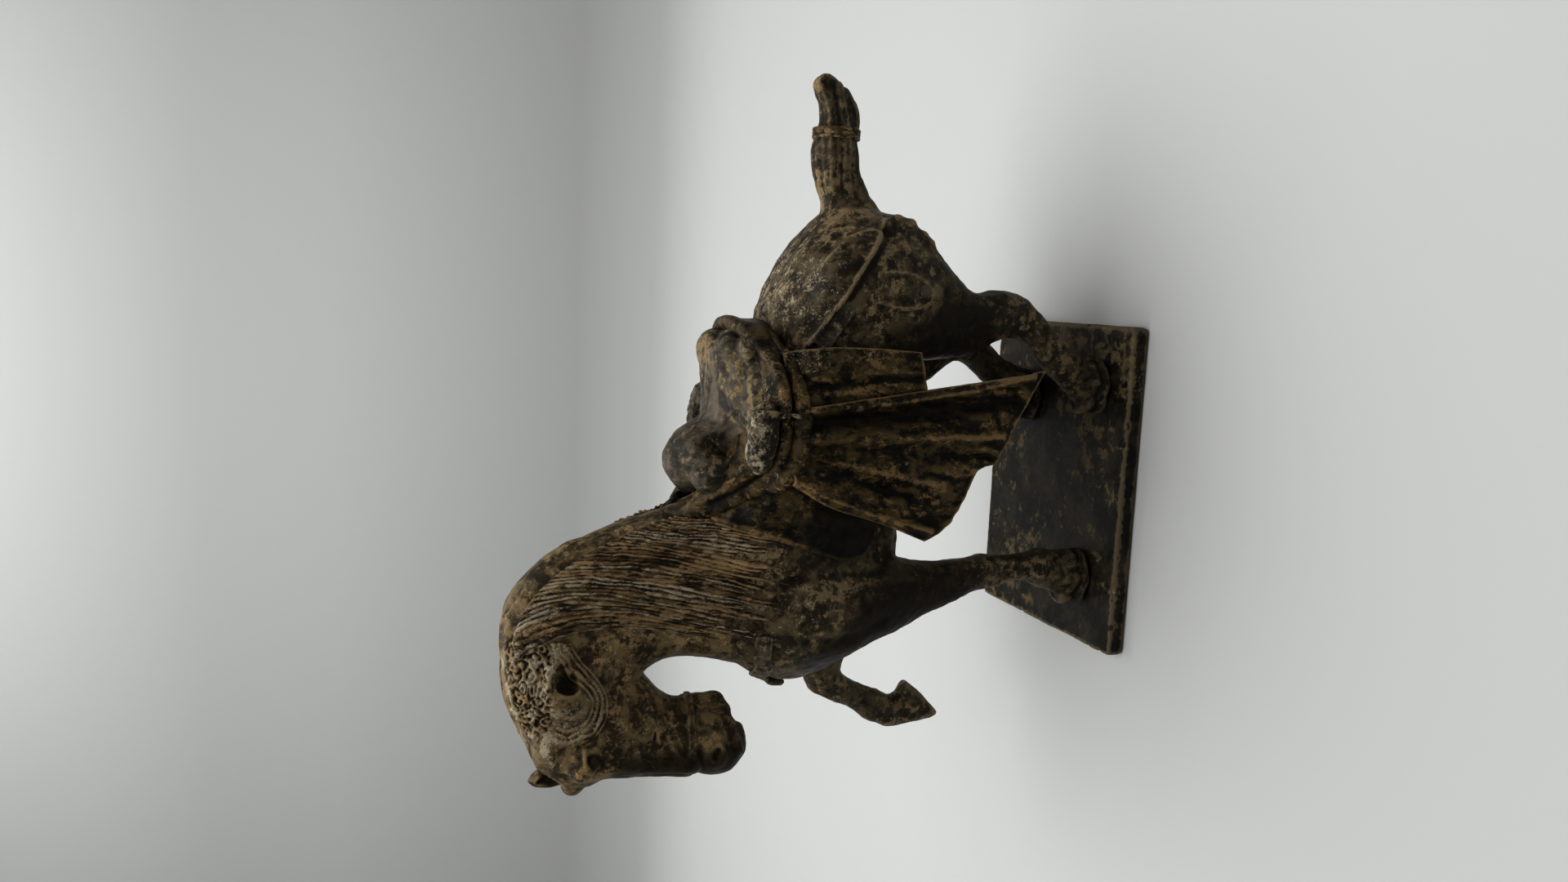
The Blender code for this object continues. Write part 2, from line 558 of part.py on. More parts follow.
def build_saddle(parts, cutters, cloth, leather):
    """Blanket, pad, seat and the two rolls, each cut to the one under it."""
    under = LIFT
    blanket = loft("saddle_blanket", TRUNK, parts, cloth, domes=TRUNK_DOMES, grow=under + BLANKET_THICK)
    combine(blanket, prism("blanket_outline", BLANKET_OUTLINE, -80, 80, cutters), "INTERSECT")
    clear_of_horse(blanket, under, cutters)

    pad = loft("saddle_pad", PAD, parts, leather, domes=PAD_DOMES)
    under += BLANKET_THICK + GAP
    clear_of_horse(pad, under, cutters)

    pad_skin = loft("saddle_space", PAD, cutters, domes=PAD_DOMES, grow=GAP)
    seat = loft("saddle_seat", SADDLE, parts, leather, domes=SADDLE_DOMES)
    clear_of_horse(combine(seat, pad_skin, "DIFFERENCE"), under, cutters)
    for name, side in (("bedroll_left", 1), ("bedroll_right", -1)):
        ends = [Vector((x, MID + side * (y - MID), z)) for x, y, z in BEDROLL]
        loops = []
        axis = (ends[1] - ends[0]).normalized()
        across = axis.cross(Vector((0, 0, 1))).normalized()
        for reach, scale in BEDROLL_WIDTHS:
            centre = ends[0].lerp(ends[1], reach)
            turns = (2 * math.pi * k / BEDROLL_SIDES for k in range(BEDROLL_SIDES))
            loops.append([centre + (across * math.cos(a) + across.cross(axis) * math.sin(a))
                          * BEDROLL_RADIUS * scale for a in turns])
        roll = skin(name, loops, parts, leather)
        combine(roll, pad_skin, "DIFFERENCE")
        seat_space = loft(f"{name}_seat_space", SADDLE, cutters, domes=SADDLE_DOMES, grow=GAP)
        combine(roll, seat_space, "DIFFERENCE")


def hanging(name, top, hem, side, inset, folds, columns, parts, cloth):
    """A cloth panel that hangs from under the pad and flares, with folds that grow downwards."""
    grid = []
    for row in patch(top, hem, 9, columns, 0):
        cells = []
        for k, (x, _, z) in enumerate(row):
            down = CLOTH_TOP - z
            wave = FOLD_DEPTH * down * (1 - math.cos(folds * 2 * math.pi * k / (columns - 1)))
            out = CLOTH_OUT - inset + CLOTH_FLARE * down + wave
            cells.append((Vector((x, MID + side * out, z)), Vector((0, side, 0))))
        grid.append(cells)
    return sheet(name, grid, CLOTH_THICK, parts, cloth)


def build_cloths(parts, cloth):
    for label, side in (("left", -1), ("right", 1)):
        hanging(f"cloth_front_{label}", CLOTH_FRONT_TOP, CLOTH_FRONT_HEM, side, 0, 3, 14, parts, cloth)
        hanging(f"cloth_rear_{label}", CLOTH_REAR_TOP, CLOTH_REAR_HEM, side, CLOTH_TUCK, 0, 4, parts, cloth)


def drop(name, place, outward, size, parts, material):
    """A leaf-shaped pendant, flat against what it hangs on."""
    turn = Vector(outward).to_track_quat("Z", "Y").to_matrix().to_4x4()
    form = bmesh.new()
    bmesh.ops.create_uvsphere(form, u_segments=10, v_segments=7, radius=1)
    form.transform(Matrix.Translation(metres(place)) @ turn @ Matrix.Diagonal((*(s * MM for s in size), 1)))
    mesh = bpy.data.meshes.new(name)
    form.to_mesh(mesh)
    form.free()
    return new_object(name, mesh, parts, material)


def build_harness(parts, castings, leather):
    """Breast strap and cruppers with their leaf pendants, and the noseband."""
    tree = surface_of(castings["trunk"], castings["neck"])
    width, thick, route = BREAST_STRAP
    strap("breast_strap", tree, route, width, thick, parts, leather, 22)
    spot, size = PENDANT
    place, normal, _, _ = tree.find_nearest(metres(spot))
    drop("breast_pendant", place / MM + normal * PENDANT_LIFT, normal, size, parts, leather)
    for label, side in (("left", -1), ("right", 1)):
        width, thick, route = CRUPPER
        route = [(x, MID + side * y, z) for x, y, z in route]
        strap(f"crupper_{label}", tree, route, width, thick, parts, leather, 12)
        (x, y, z), size = LEAF
        place, normal, _, _ = tree.find_nearest(metres((x, MID + side * y, z)))
        drop(f"crupper_leaf_{label}", place / MM + normal * PENDANT_LIFT, normal, size, parts, leather)
    width, thick, route = NOSEBAND
    strap("noseband", surface_of(castings["head"]), [to_head(p) for p in route], width, thick, parts, leather,
          24, lift=NOSEBAND_LIFT)


def turned(name, profile, place, group, material=None, steps=12):
    """A solid of revolution from a profile of (radius, z), run down its outer side."""
    mesh = bpy.data.meshes.new(name)
    points = [metres((radius, 0, z)) for radius, z in profile]
    mesh.from_pydata(points, [(i, i + 1) for i in range(len(points) - 1)], [])
    obj = new_object(name, mesh, group, material)
    obj.location = metres((*place, 0))
    turn = obj.modifiers.new("turn", "SCREW")
    turn.steps = turn.render_steps = steps
    turn.use_merge_vertices = True
    turn.merge_threshold = 0.00001
    return obj


def build_plate(parts, cutters, castings, iron, steel):
    """The plate, and a socket screw up through it into each hoof that stands on it."""
    form = bmesh.new()
    bmesh.ops.create_cube(form, size=1)
    form.transform(Matrix.Translation(metres((0, 0, PLATE_HEIGHT / 2)))
                   @ Matrix.Diagonal((PLATE_LENGTH * MM, PLATE_WIDTH * MM, PLATE_HEIGHT * MM, 1)))
    upright = [e for e in form.edges if abs(e.verts[0].co.z - e.verts[1].co.z) > MM]
    bmesh.ops.bevel(form, geom=upright, offset=PLATE_CORNER * MM, segments=3, profile=0.5, affect="EDGES")
    mesh = bpy.data.meshes.new("base_plate")
    form.to_mesh(mesh)
    form.free()
    plate = new_object("base_plate", mesh, parts, iron)
    head_high = SCREW_HEAD_LOW + SCREW_HEAD_HEIGHT
    tip = head_high + SCREW_LENGTH
    legs = {"fore_left": "foreleg_left", "hind_left": "hindleg_left", "hind_right": "hindleg_right"}
    for label, (x, y) in HOOF_SCREWS.items():
        recess = rod(f"{label}_recess", (x, y, -1), (x, y, head_high + GAP), SCREW_HEAD_RADIUS + GAP, cutters)
        hole = rod(f"{label}_hole", (x, y, -2), (x, y, tip + GAP), SCREW_RADIUS + GAP, cutters)
        combine(combine(plate, recess, "DIFFERENCE"), hole, "DIFFERENCE")
        combine(castings[legs[label]], hole, "DIFFERENCE")
        profile = [(0, tip), (SCREW_RADIUS - SCREW_CHAMFER, tip), (SCREW_RADIUS, tip - SCREW_CHAMFER),
                   (SCREW_RADIUS, head_high), (SCREW_HEAD_RADIUS, head_high),
                   (SCREW_HEAD_RADIUS, SCREW_HEAD_LOW), (0, SCREW_HEAD_LOW)]
        screw = turned(f"hoof_screw_{label}", profile, (x, y), parts, steel)
        key = rod(f"{label}_key", (x, y, -1), (x, y, SCREW_HEAD_LOW + KEY_DEPTH), KEY_RADIUS, cutters, 6)
        combine(screw, key, "DIFFERENCE")


def main():
    for obj in list(bpy.data.objects):
        bpy.data.objects.remove(obj)
    parts = bpy.data.collections.new("tang_style_horse")
    cutters = bpy.data.collections.new("cutters")
    for group in (parts, cutters):
        bpy.context.scene.collection.children.link(group)
    iron = metal("body_iron", (0.055, 0.040, 0.028), 0.55, 0.35)
    hair = metal("hair_iron", (0.120, 0.090, 0.060), 0.65, 0.25)
    cloth = metal("cloth_iron", (0.085, 0.062, 0.042), 0.60, 0.30)
    leather = metal("saddle_iron", (0.070, 0.048, 0.034), 0.50, 0.35)
    base = metal("plate_iron", (0.050, 0.038, 0.028), 0.60, 0.30)
    steel = metal("screw_steel", (0.350, 0.350, 0.340), 0.35, 1.0)
    castings = build_castings(parts, cutters, iron)
    build_ears(parts, cutters, iron)
    build_hair(parts, cutters, castings, hair)
    build_tie(parts, cutters, hair)
    build_saddle(parts, cutters, cloth, leather)
    build_cloths(parts, cloth)
    build_harness(parts, castings, leather)
    build_plate(parts, cutters, castings, base, steel)


main()
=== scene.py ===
"""The looks of a cast-iron, Tang-style prancing horse with saddle, cloth and combed mane.

Every length below is in millimetres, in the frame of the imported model: +Z is up, -X is
where the horse walks and -Y is its left side. The castings are sculpted as fields of
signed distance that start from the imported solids, so each one stays where its solid is.
"""

import math

import bmesh
import bpy
import numpy as np
import openvdb as vdb
from mathutils import Matrix, Vector
from mathutils.bvhtree import BVHTree


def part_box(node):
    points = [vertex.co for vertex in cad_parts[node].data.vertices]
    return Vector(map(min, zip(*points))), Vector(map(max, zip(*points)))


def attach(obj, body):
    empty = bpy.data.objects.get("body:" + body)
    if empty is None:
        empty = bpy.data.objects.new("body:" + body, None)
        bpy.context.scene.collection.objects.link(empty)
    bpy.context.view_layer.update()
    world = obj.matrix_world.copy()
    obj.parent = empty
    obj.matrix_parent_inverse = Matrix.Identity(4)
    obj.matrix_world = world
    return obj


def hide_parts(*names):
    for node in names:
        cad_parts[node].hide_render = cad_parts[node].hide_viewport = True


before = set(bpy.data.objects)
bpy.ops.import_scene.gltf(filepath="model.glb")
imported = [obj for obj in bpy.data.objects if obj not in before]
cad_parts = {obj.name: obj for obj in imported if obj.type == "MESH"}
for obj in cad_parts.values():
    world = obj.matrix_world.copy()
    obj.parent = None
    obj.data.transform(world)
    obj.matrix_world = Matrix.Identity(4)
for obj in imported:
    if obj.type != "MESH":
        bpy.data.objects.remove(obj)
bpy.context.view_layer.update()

MM = 0.001
FAR = 30.0                      # distance stored where nothing is near
BAND = 6                        # cells on each side of a solid's skin that hold true distances
MID = -4.0                      # the horse's middle plane
SEED = 7                        # each set of random bumps counts on from this
WAVES = 28                      # plane waves that add up to one set of bumps

BODY_CELL = 0.86                # the clay's cells; a smaller cell holds finer relief
FRONT_CELL = 0.5
SADDLE_CELL = 0.55
BLANKET_CELL = 0.6
PLATE_CELL = 0.7
STRAP_CELL = 0.4
CORD_CELL = 0.35
FITTING_CELL = 0.3

NECK_SEAM = ((-47.0, MID, 176.5), (-0.467, 0, 0.884))    # a point, and the side of the neck
HEAD_SEAM = ((-79.0, MID, 200.0), (-0.995, 0, -0.1))     # a point, and the side of the head
HEAD_CENTRE = np.array((-103.0, -14.0, 198.0))
HEAD_TURN = math.radians(30)
COS, SIN = math.cos(HEAD_TURN), math.sin(HEAD_TURN)


# ---------------------------------------------------------------- sculpting

def soft_min(a, b, soft):
    """The smaller of two distances, rounded where they are within soft of each other."""
    if soft <= 0:
        return np.minimum(a, b)
    near = np.maximum(soft - np.abs(a - b), 0)
    return np.minimum(a, b) - near * near / (4 * soft)


def curve(points, steps):
    """A Catmull-Rom curve through the points, as an array with steps rows a span."""
    points = np.array(points, float)
    ends = np.vstack([2 * points[0] - points[1], points, 2 * points[-1] - points[-2]])
    rows = []
    for a, b, c, d in zip(ends, ends[1:], ends[2:], ends[3:]):
        for t in np.arange(steps) / steps:
            rows.append(0.5 * (2 * b + (c - a) * t + (2 * a - 5 * b + 4 * c - d) * t * t
                               + (3 * b - 3 * c + d - a) * t ** 3))
    return np.array([*rows, points[-1]])


class Clay:
    """A block of signed distances, negative inside, that forms are added to or carved from."""

    def __init__(self, low, high, cell):
        self.cell = cell
        self.first = np.floor(np.array(low, float) / cell).astype(int)
        count = np.ceil(np.array(high, float) / cell).astype(int) - self.first + 1
        self.field = np.full(count, FAR, np.float32)
        self.grid = vdb.createLinearTransform(cell)

    def window(self, low, high):
        """The slices that cover a box, and the coordinates along its three axes."""
        start = np.floor(np.array(low) / self.cell).astype(int) - self.first
        stop = np.ceil(np.array(high) / self.cell).astype(int) + 1 - self.first
        start, stop = (np.clip(ends, 0, self.field.shape) for ends in (start, stop))
        lines = [(np.arange(a, b) + f) * self.cell for a, b, f in zip(start, stop, self.first)]
        where = tuple(slice(a, b) for a, b in zip(start, stop))
        return where, np.meshgrid(*lines, indexing="ij", sparse=True)

    def blend(self, where, distance, soft, carve=False):
        sign = -1 if carve else 1
        self.field[where] = sign * soft_min(sign * self.field[where], distance, soft)

    def solid(self, *nodes, grow=0.0, soft=0.0):
        """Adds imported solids, each grown by a distance."""
        for node in nodes:
            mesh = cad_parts[node].data
            mesh.calc_loop_triangles()
            points = np.array([v.co for v in mesh.vertices], np.float32) / MM
            corners = np.array([t.vertices for t in mesh.loop_triangles], np.uint32)
            level = vdb.FloatGrid.createLevelSetFromPolygons(
                points, triangles=corners, transform=self.grid, halfWidth=BAND)
            distance = np.full(self.field.shape, BAND * self.cell, np.float32)
            level.copyToArray(distance, ijk=tuple(int(i) for i in self.first))
            self.blend(slice(None), distance - grow, soft)
        return self

    def egg(self, centre, radii, soft, carve=False, turn=None):
        """An ellipsoid; turn is the matrix whose columns are its own axes."""
        centre, radii = np.array(centre, float), np.array(radii, float)
        reach = radii.max() + soft + 1
        where, (x, y, z) = self.window(centre - reach, centre + reach)
        away = [x - centre[0], y - centre[1], z - centre[2]]
        if turn is not None:
            away = [sum(turn[j][i] * away[j] for j in range(3)) for i in range(3)]
        ratio = np.sqrt(sum((p / r) ** 2 for p, r in zip(away, radii)))
        slope = np.sqrt(sum((p / r ** 2) ** 2 for p, r in zip(away, radii)))
        self.blend(where, ratio * (ratio - 1) / np.maximum(slope, 1e-6), soft, carve)

    def chain(self, points, radii, soft, carve=False):
        """A rod of changing radius along a smooth curve through the points."""
        radii = np.broadcast_to(radii, len(points)).astype(float)
        route = curve([(*p, r) for p, r in zip(points, radii)], 5)
        reach = radii.max() + soft + 1
        where, (x, y, z) = self.window(route[:, :3].min(0) - reach, route[:, :3].max(0) + reach)
        nearest = np.full([s.stop - s.start for s in where], FAR)
        for a, b in zip(route, route[1:]):
            span = b[:3] - a[:3]
            away = (x - a[0], y - a[1], z - a[2])
            t = sum(w * s for w, s in zip(away, span)) / max(float(span @ span), 1e-9)
            t = np.clip(t, 0, 1)
            gap = np.sqrt(sum((w - t * s) ** 2 for w, s in zip(away, span)))
            np.minimum(nearest, gap - a[3] - t * (b[3] - a[3]), out=nearest)
        self.blend(where, nearest, soft, carve)

    def ease(self, times):
        """Rounds every edge a little, by averaging each cell with its neighbours."""
        for _ in range(times):
            for axis in range(3):
                field = np.moveaxis(self.field, axis, 0)
                field[1:-1] = (field[:-2] + 2 * field[1:-1] + field[2:]) / 4
        return self

    def skin(self):
        """The surface as a Form."""
        for axis in range(3):
            edge = np.moveaxis(self.field, axis, 0)
            edge[0] = edge[-1] = np.maximum(edge[0], self.cell)
        grid = vdb.FloatGrid(FAR)
        grid.transform = self.grid
        grid.copyFromArray(self.field, ijk=tuple(int(i) for i in self.first))
        points, quads = grid.convertToQuads(isovalue=0.0)
        return Form(points.astype(float), quads.astype(int))


class Form:
    """A mesh of quads with numbers painted on its points."""

    def __init__(self, points, quads):
        self.points = points
        self.quads = quads
        self.paint = {}
        if self.volume() < 0:
            self.quads = self.quads[:, ::-1]

    def corners(self):
        return (self.points[column] for column in self.quads.T)

    def volume(self):
        a, b, c, d = self.corners()
        return float(np.einsum("ij,ij->", a, np.cross(b, c) + np.cross(c, d)) / 6)

    def normals(self):
        a, b, c, d = self.corners()
        flat = np.cross(c - a, d - b)
        total = np.zeros_like(self.points)
        for i in range(4):
            for axis in range(3):
                total[:, axis] += np.bincount(self.quads[:, i], flat[:, axis], len(self.points))
        return total / np.maximum(np.linalg.norm(total, axis=1, keepdims=True), 1e-9)

    def relaxed(self, values, times):
        """Values averaged over neighbouring points, times over."""
        one, other = self.quads.T.ravel(), np.roll(self.quads, -1, 1).T.ravel()
        count = len(self.points)
        share = np.bincount(one, minlength=count) + np.bincount(other, minlength=count)
        for _ in range(times):
            total = [np.bincount(one, column[other], count) + np.bincount(other, column[one], count)
                     for column in values.T]
            values = np.stack(total, 1) / np.maximum(share, 1)[:, None]
        return values

    def push(self, amount):
        """Moves each point out along its normal."""
        self.points = self.points + self.normals() * np.asarray(amount)[:, None]
        return self

    def weather(self, fine=4, broad=22):
        """Paints wear: above 0 where the surface stands proud, below 0 in its hollows."""
        normals = self.normals()
        near = self.relaxed(self.points, fine)
        wide = self.relaxed(near, broad)
        proud = np.einsum("ij,ij->i", self.points - near, normals)[:, None] * 3.5
        proud += np.einsum("ij,ij->i", near - wide, normals)[:, None] * 1.1
        proud -= self.relaxed(proud, 2 * broad)
        self.paint["wear"] = np.clip(proud[:, 0], -1, 1)

    def wear(self, more, keep=1.0):
        """Adds to the wear, after taking the old times keep."""
        self.paint["wear"] = np.clip(self.paint["wear"] * keep + more, -1, 1)


def fade(value, low, high):
    """0 below low, 1 above high, and smooth between."""
    t = np.clip((value - low) / (high - low), 0, 1)
    return t * t * (3 - 2 * t)


def bell(distance, width):
    return np.exp(-(np.asarray(distance) / width) ** 2)


def line_gap(points, line):
    """Each (x, z) point's distance to a polyline, and which side of it the point is on."""
    line = np.array(line, float)
    best = np.full(len(points), FAR * 10)
    side = np.zeros(len(points))
    for a, b in zip(line, line[1:]):
        span = b - a
        t = np.clip((points - a) @ span / (span @ span), 0, 1)
        away = points - a - t[:, None] * span
        gap = np.linalg.norm(away, axis=1)
        closer = gap < best
        best = np.where(closer, gap, best)
        side = np.where(closer, np.sign(away[:, 1] * span[0] - away[:, 0] * span[1]), side)
    return best, side


def gap_to(points, route, steps=5):
    """The distance of points, seen from the side, to a smooth route of (x, z) points."""
    return line_gap(points[:, [0, 2]], curve(route, steps))[0]


def bumps(points, first, *sorts):
    """Smooth random bumps. Each sort is a (height, size) and has the next seed after first."""
    total = 0
    for k, (height, size) in enumerate(sorts):
        chance = np.random.default_rng(SEED + first + k)
        heading = chance.normal(size=(WAVES, 3))
        heading /= np.linalg.norm(heading, axis=1, keepdims=True)
        waves = heading * (2 * math.pi / size) * chance.uniform(0.6, 1.7, (WAVES, 1))
        phase = chance.uniform(0, 2 * math.pi, WAVES)
        total += height * (np.sin(points @ waves.T + phase).sum(1) / math.sqrt(WAVES / 2) / 2)
    return total


def to_head(point):
    """A point given along, across and up from the head's centre, in the horse's frame."""
    x, y, z = point
    return HEAD_CENTRE + np.array((COS * x - SIN * y, SIN * x + COS * y, z))


def from_head(points):
    x, y, z = (points - HEAD_CENTRE).T
    return np.stack([COS * x + SIN * y, -SIN * x + COS * y, z], 1)


def box(node, margin=0.0):
    """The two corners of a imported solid's box."""
    low, high = (np.array(c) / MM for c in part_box(node))
    return low - margin, high + margin


def both_sides(points):
    """A route on the left side, and its mirror image on the right."""
    yield [tuple(p) for p in points]
    yield [(p[0], 2 * MID - p[1], p[2]) for p in points]


# ---------------------------------------------------------------- objects

def to_mesh(name, form):
    """A mesh of a Form, with its paint, or of a bmesh, which is used up."""
    mesh = bpy.data.meshes.new(name)
    if isinstance(form, bmesh.types.BMesh):
        form.to_mesh(mesh)
        form.free()
        return mesh
    mesh.vertices.add(len(form.points))
    mesh.vertices.foreach_set("co", (form.points * MM).astype(np.float32).ravel())
    mesh.loops.add(form.quads.size)
    mesh.loops.foreach_set("vertex_index", form.quads.astype(np.int32).ravel())
    mesh.polygons.add(len(form.quads))
    mesh.polygons.foreach_set("loop_start", np.arange(0, form.quads.size, 4, dtype=np.int32))
    mesh.update(calc_edges=True)
    for label, values in form.paint.items():
        layer = mesh.attributes.new(label, "FLOAT", "POINT")
        layer.data.foreach_set("value", np.asarray(values, np.float32))
    mesh.validate()
    mesh.shade_smooth()
    return mesh


def linked(name, data):
    made = bpy.data.objects.new(name, data)
    bpy.context.scene.collection.objects.link(made)
    return made


def place(name, form, nodes, material):
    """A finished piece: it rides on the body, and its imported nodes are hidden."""
    mesh = to_mesh(name, form)
    mesh.materials.append(material)
    piece = linked(name, mesh)
    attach(piece, "root")
    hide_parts(*nodes)


def to_bmesh(name, form):
    whole = bmesh.new()
    whole.from_mesh(to_mesh(name, form))
    return whole


def beyond(point, seam):
    return (point - Vector(seam[0])).dot(Vector(seam[1])) > 0


def close_cuts(form):
    """Fills the open cuts, each with one flat face that keeps a sharp border."""
    rim = [e for e in form.edges if e.is_boundary]
    made = bmesh.ops.holes_fill(form, edges=rim, sides=0)["faces"]
    for face in made:
        face.smooth = False
        for edge in face.edges:
            edge.smooth = False
    bmesh.ops.recalc_face_normals(form, faces=made)


def split_off(form, window, seam):
    """Cuts off what a window holds beyond a seam's plane. Returns it, and closes both."""
    picked = [f for f in form.faces if window(f.calc_center_median() / MM)]
    geometry = set(picked)
    for face in picked:
        geometry.update(face.verts)
        geometry.update(face.edges)
    bmesh.ops.bisect_plane(form, geom=list(geometry), plane_co=Vector(seam[0]) * MM,
                           plane_no=seam[1], dist=1e-7)
    taken = [f for f in form.faces if window(f.calc_center_median() / MM)
             and beyond(f.calc_center_median() / MM, seam)]
    piece = bmesh.new()
    labels = form.verts.layers.float.keys()
    for label in labels:
        piece.verts.layers.float.new(label)
    layers = [(form.verts.layers.float[k], piece.verts.layers.float[k]) for k in labels]
    copies = {}
    for face in taken:
        for vert in face.verts:
            if vert not in copies:
                copies[vert] = piece.verts.new(vert.co)
                for source, target in layers:
                    copies[vert][target] = vert[source]
    for face in taken:
        piece.faces.new([copies[v] for v in face.verts]).smooth = True
    bmesh.ops.delete(form, geom=taken, context="FACES")
    close_cuts(piece)
    return piece


def surface(a, b):
    """A search tree over two forms, in millimetres."""
    points = np.vstack([a.points, b.points])
    quads = np.vstack([a.quads, b.quads + len(a.points)])
    return BVHTree.FromPolygons(points.tolist(), quads.tolist())


def slab(inner, outer):
    """A closed form between two grids of points, shaped (rows, columns, 3)."""
    rows, columns = outer.shape[:2]
    index = np.arange(rows * columns).reshape(rows, columns)
    face = np.stack([index[:-1, :-1], index[:-1, 1:], index[1:, 1:], index[1:, :-1]], -1)
    face = face.reshape(-1, 4)
    rim = np.concatenate([index[0, :-1], index[:-1, -1], index[-1, :0:-1], index[:0:-1, 0]])
    ahead = np.roll(rim, -1)
    count = rows * columns
    side = np.stack([ahead, rim, rim + count, ahead + count], -1)
    quads = np.vstack([face, face[:, ::-1] + count, side])
    return Form(np.vstack([outer.reshape(-1, 3), inner.reshape(-1, 3)]), quads)


# ---------------------------------------------------------------- materials

class Shading:
    """A material with short ways to put nodes before its Principled shader."""

    def __init__(self, name):
        self.material = bpy.data.materials.new(name)
        self.material.use_nodes = True
        self.tree = self.material.node_tree
        self.shader = self.tree.nodes["Principled BSDF"]
        self.spot = self.node("ShaderNodeTexCoord").outputs["Object"]

    def fill(self, made, inputs):
        """Links a socket to each of a node's inputs, or sets its number, vector or colour."""
        for key, value in inputs.items():
            slot = made.inputs[key]
            if isinstance(value, bpy.types.NodeSocket):
                self.tree.links.new(value, slot)
            elif slot.type == "RGBA":
                slot.default_value = (*value, 1)
            else:
                slot.default_value = value

    def node(self, kind, inputs={}, **settings):
        made = self.tree.nodes.new(kind)
        for key, value in settings.items():
            setattr(made, key, value)
        self.fill(made, inputs)
        return made

    def painted(self, label):
        return self.node("ShaderNodeAttribute", attribute_name=label).outputs["Fac"]

    def noise(self, scale, detail, rough, bend, shift=0.0):
        """Noise, moved in space so that no two of them agree."""
        moved = self.node("ShaderNodeVectorMath", {0: self.spot, 1: (shift, shift * 1.7, -shift)},
                          operation="ADD").outputs[0]
        return self.node("ShaderNodeTexNoise", {"Vector": moved, "Scale": scale, "Detail": detail,
                                                "Roughness": rough, "Distortion": bend}).outputs["Fac"]

    def scaled(self, value, factor, plus=0.0):
        """A value times a factor, plus another value."""
        return self.node("ShaderNodeMath", {0: value, 1: factor, 2: plus},
                         operation="MULTIPLY_ADD").outputs[0]

    def step(self, value, low, high, bottom=0.0, top=1.0):
        """A smooth way from bottom to top as the value goes from low to high."""
        return self.node("ShaderNodeMapRange", {"Value": value, "From Min": low, "From Max": high,
                                                "To Min": bottom, "To Max": top},
                         interpolation_type="SMOOTHSTEP").outputs["Result"]

    def mix(self, amount, a, b):
        return self.node("ShaderNodeMix", {"Factor": amount, "A": a, "B": b},
                         data_type="RGBA").outputs["Result"]

    def bump(self, height, strength, distance):
        return self.node("ShaderNodeBump", {"Height": height, "Strength": strength,
                                            "Distance": distance * MM}).outputs["Normal"]


def times(colour, factor):
    return tuple(c * factor for c in colour)


MOSS = (0.040, 0.044, 0.034)
CREAM_SHADE = (0.27, 0.215, 0.135)
CREAM = (0.60, 0.53, 0.40)


def patina(name, dark, brown, tan, cover, grain=1.0, rough=0.50, green=0.25, streak=1.0):
    """Old metal: dark and brown ground, sharp-edged ochre patches, rubbed edges and a pale crust;
    painted values below zero darken it as painted shade.

    cover is how much the ochre covers, grain the size of the spots, rough the roughness, green
    how strong the mossy spots are, and a streak under 1 draws the spots out along z.
    """
    look = Shading(name)
    look.spot = look.node("ShaderNodeVectorMath", {0: look.spot, 1: (1 / MM, 1 / MM, streak / MM)},
                          operation="MULTIPLY").outputs[0]
    wear, crust_and_shade = look.painted("wear"), look.painted("crust_and_shade")
    broad = look.noise(0.045 / grain, 3.0, 0.5, 0.4)
    cloud = look.noise(0.10 / grain, 12.0, 0.70, 0.4, 53.0)
    flake = look.noise(0.24 / grain, 12.0, 0.74, 0.1, 31.0)
    fine = look.noise(1.1 / grain, 6.0, 0.75, 0.2, 77.0)
    pits = look.noise(3.0 / grain, 3.0, 0.6, 0.0, 11.0)
    moss = look.noise(0.15 / grain, 8.0, 0.68, 0.3, 91.0)
    hue = look.noise(0.33 / grain, 6.0, 0.7, 0.2, 113.0)

    film = look.scaled(fine, 0.16, look.scaled(wear, 0.09, cloud))
    colour = look.mix(look.step(film, 0.50, 0.70), dark, brown)
    colour = look.mix(look.scaled(look.step(moss, 0.54, 0.64), green), colour, MOSS)

    level = look.scaled(wear, 0.035, look.scaled(flake, 0.68, look.scaled(broad, 0.32)))
    edge = 0.60 - 0.14 * cover
    patch = look.step(level, edge, edge + 0.012)
    halo = look.step(level, edge - 0.06, edge + 0.03, 0.0, 0.5)
    colour = look.mix(halo, colour, times(brown, 1.25))
    ochre = look.mix(look.step(hue, 0.42, 0.58), tan, (tan[0] * 1.06, tan[1], tan[2] * 0.78))
    ochre = look.mix(look.step(fine, 0.34, 0.62), times(tan, 0.42), ochre)
    colour = look.mix(look.scaled(patch, 0.9), colour, ochre)

    rubbed = look.step(look.scaled(fine, 0.8, wear), 0.75, 1.3, 0.0, 0.55)
    colour = look.mix(rubbed, colour, tan)
    hollow = look.step(look.scaled(fine, 0.4, look.scaled(wear, -1.0)), 0.45, 1.1, 0.0, 0.75)
    colour = look.mix(hollow, colour, times(dark, 0.5))
    # painted shade: painted values below zero darken the colour, together with a little black mottling
    # from noise
    shade_and_black = look.step(look.scaled(cloud, 0.5, look.scaled(crust_and_shade, -1.0)), 0.3, 1.1, 0.0, 0.9)
    colour = look.mix(shade_and_black, colour, times(dark, 0.4))
    scatter = look.scaled(flake, 0.45, look.scaled(fine, 0.55))
    cream = look.step(look.scaled(crust_and_shade, 0.19, scatter), 0.625, 0.655)
    pale = look.mix(look.step(pits, 0.35, 0.65), CREAM_SHADE, CREAM)
    colour = look.mix(look.scaled(cream, 0.85), colour, pale)

    matt = look.scaled(fine, 0.5, look.scaled(patch, 0.5))
    matt = look.step(matt, 0.1, 0.9, rough - 0.14, rough + 0.2)
    height = look.scaled(patch, 0.12, look.scaled(fine, 0.52))
    height = look.scaled(cream, 0.3, look.scaled(pits, 0.12, height))
    look.fill(look.shader, {"Base Color": colour, "Roughness": look.scaled(cream, 0.2, matt),
                            "Metallic": 0.0, "Specular IOR Level": 0.12,
                            "Normal": look.bump(height, 0.85, 0.45)})
    return look.material


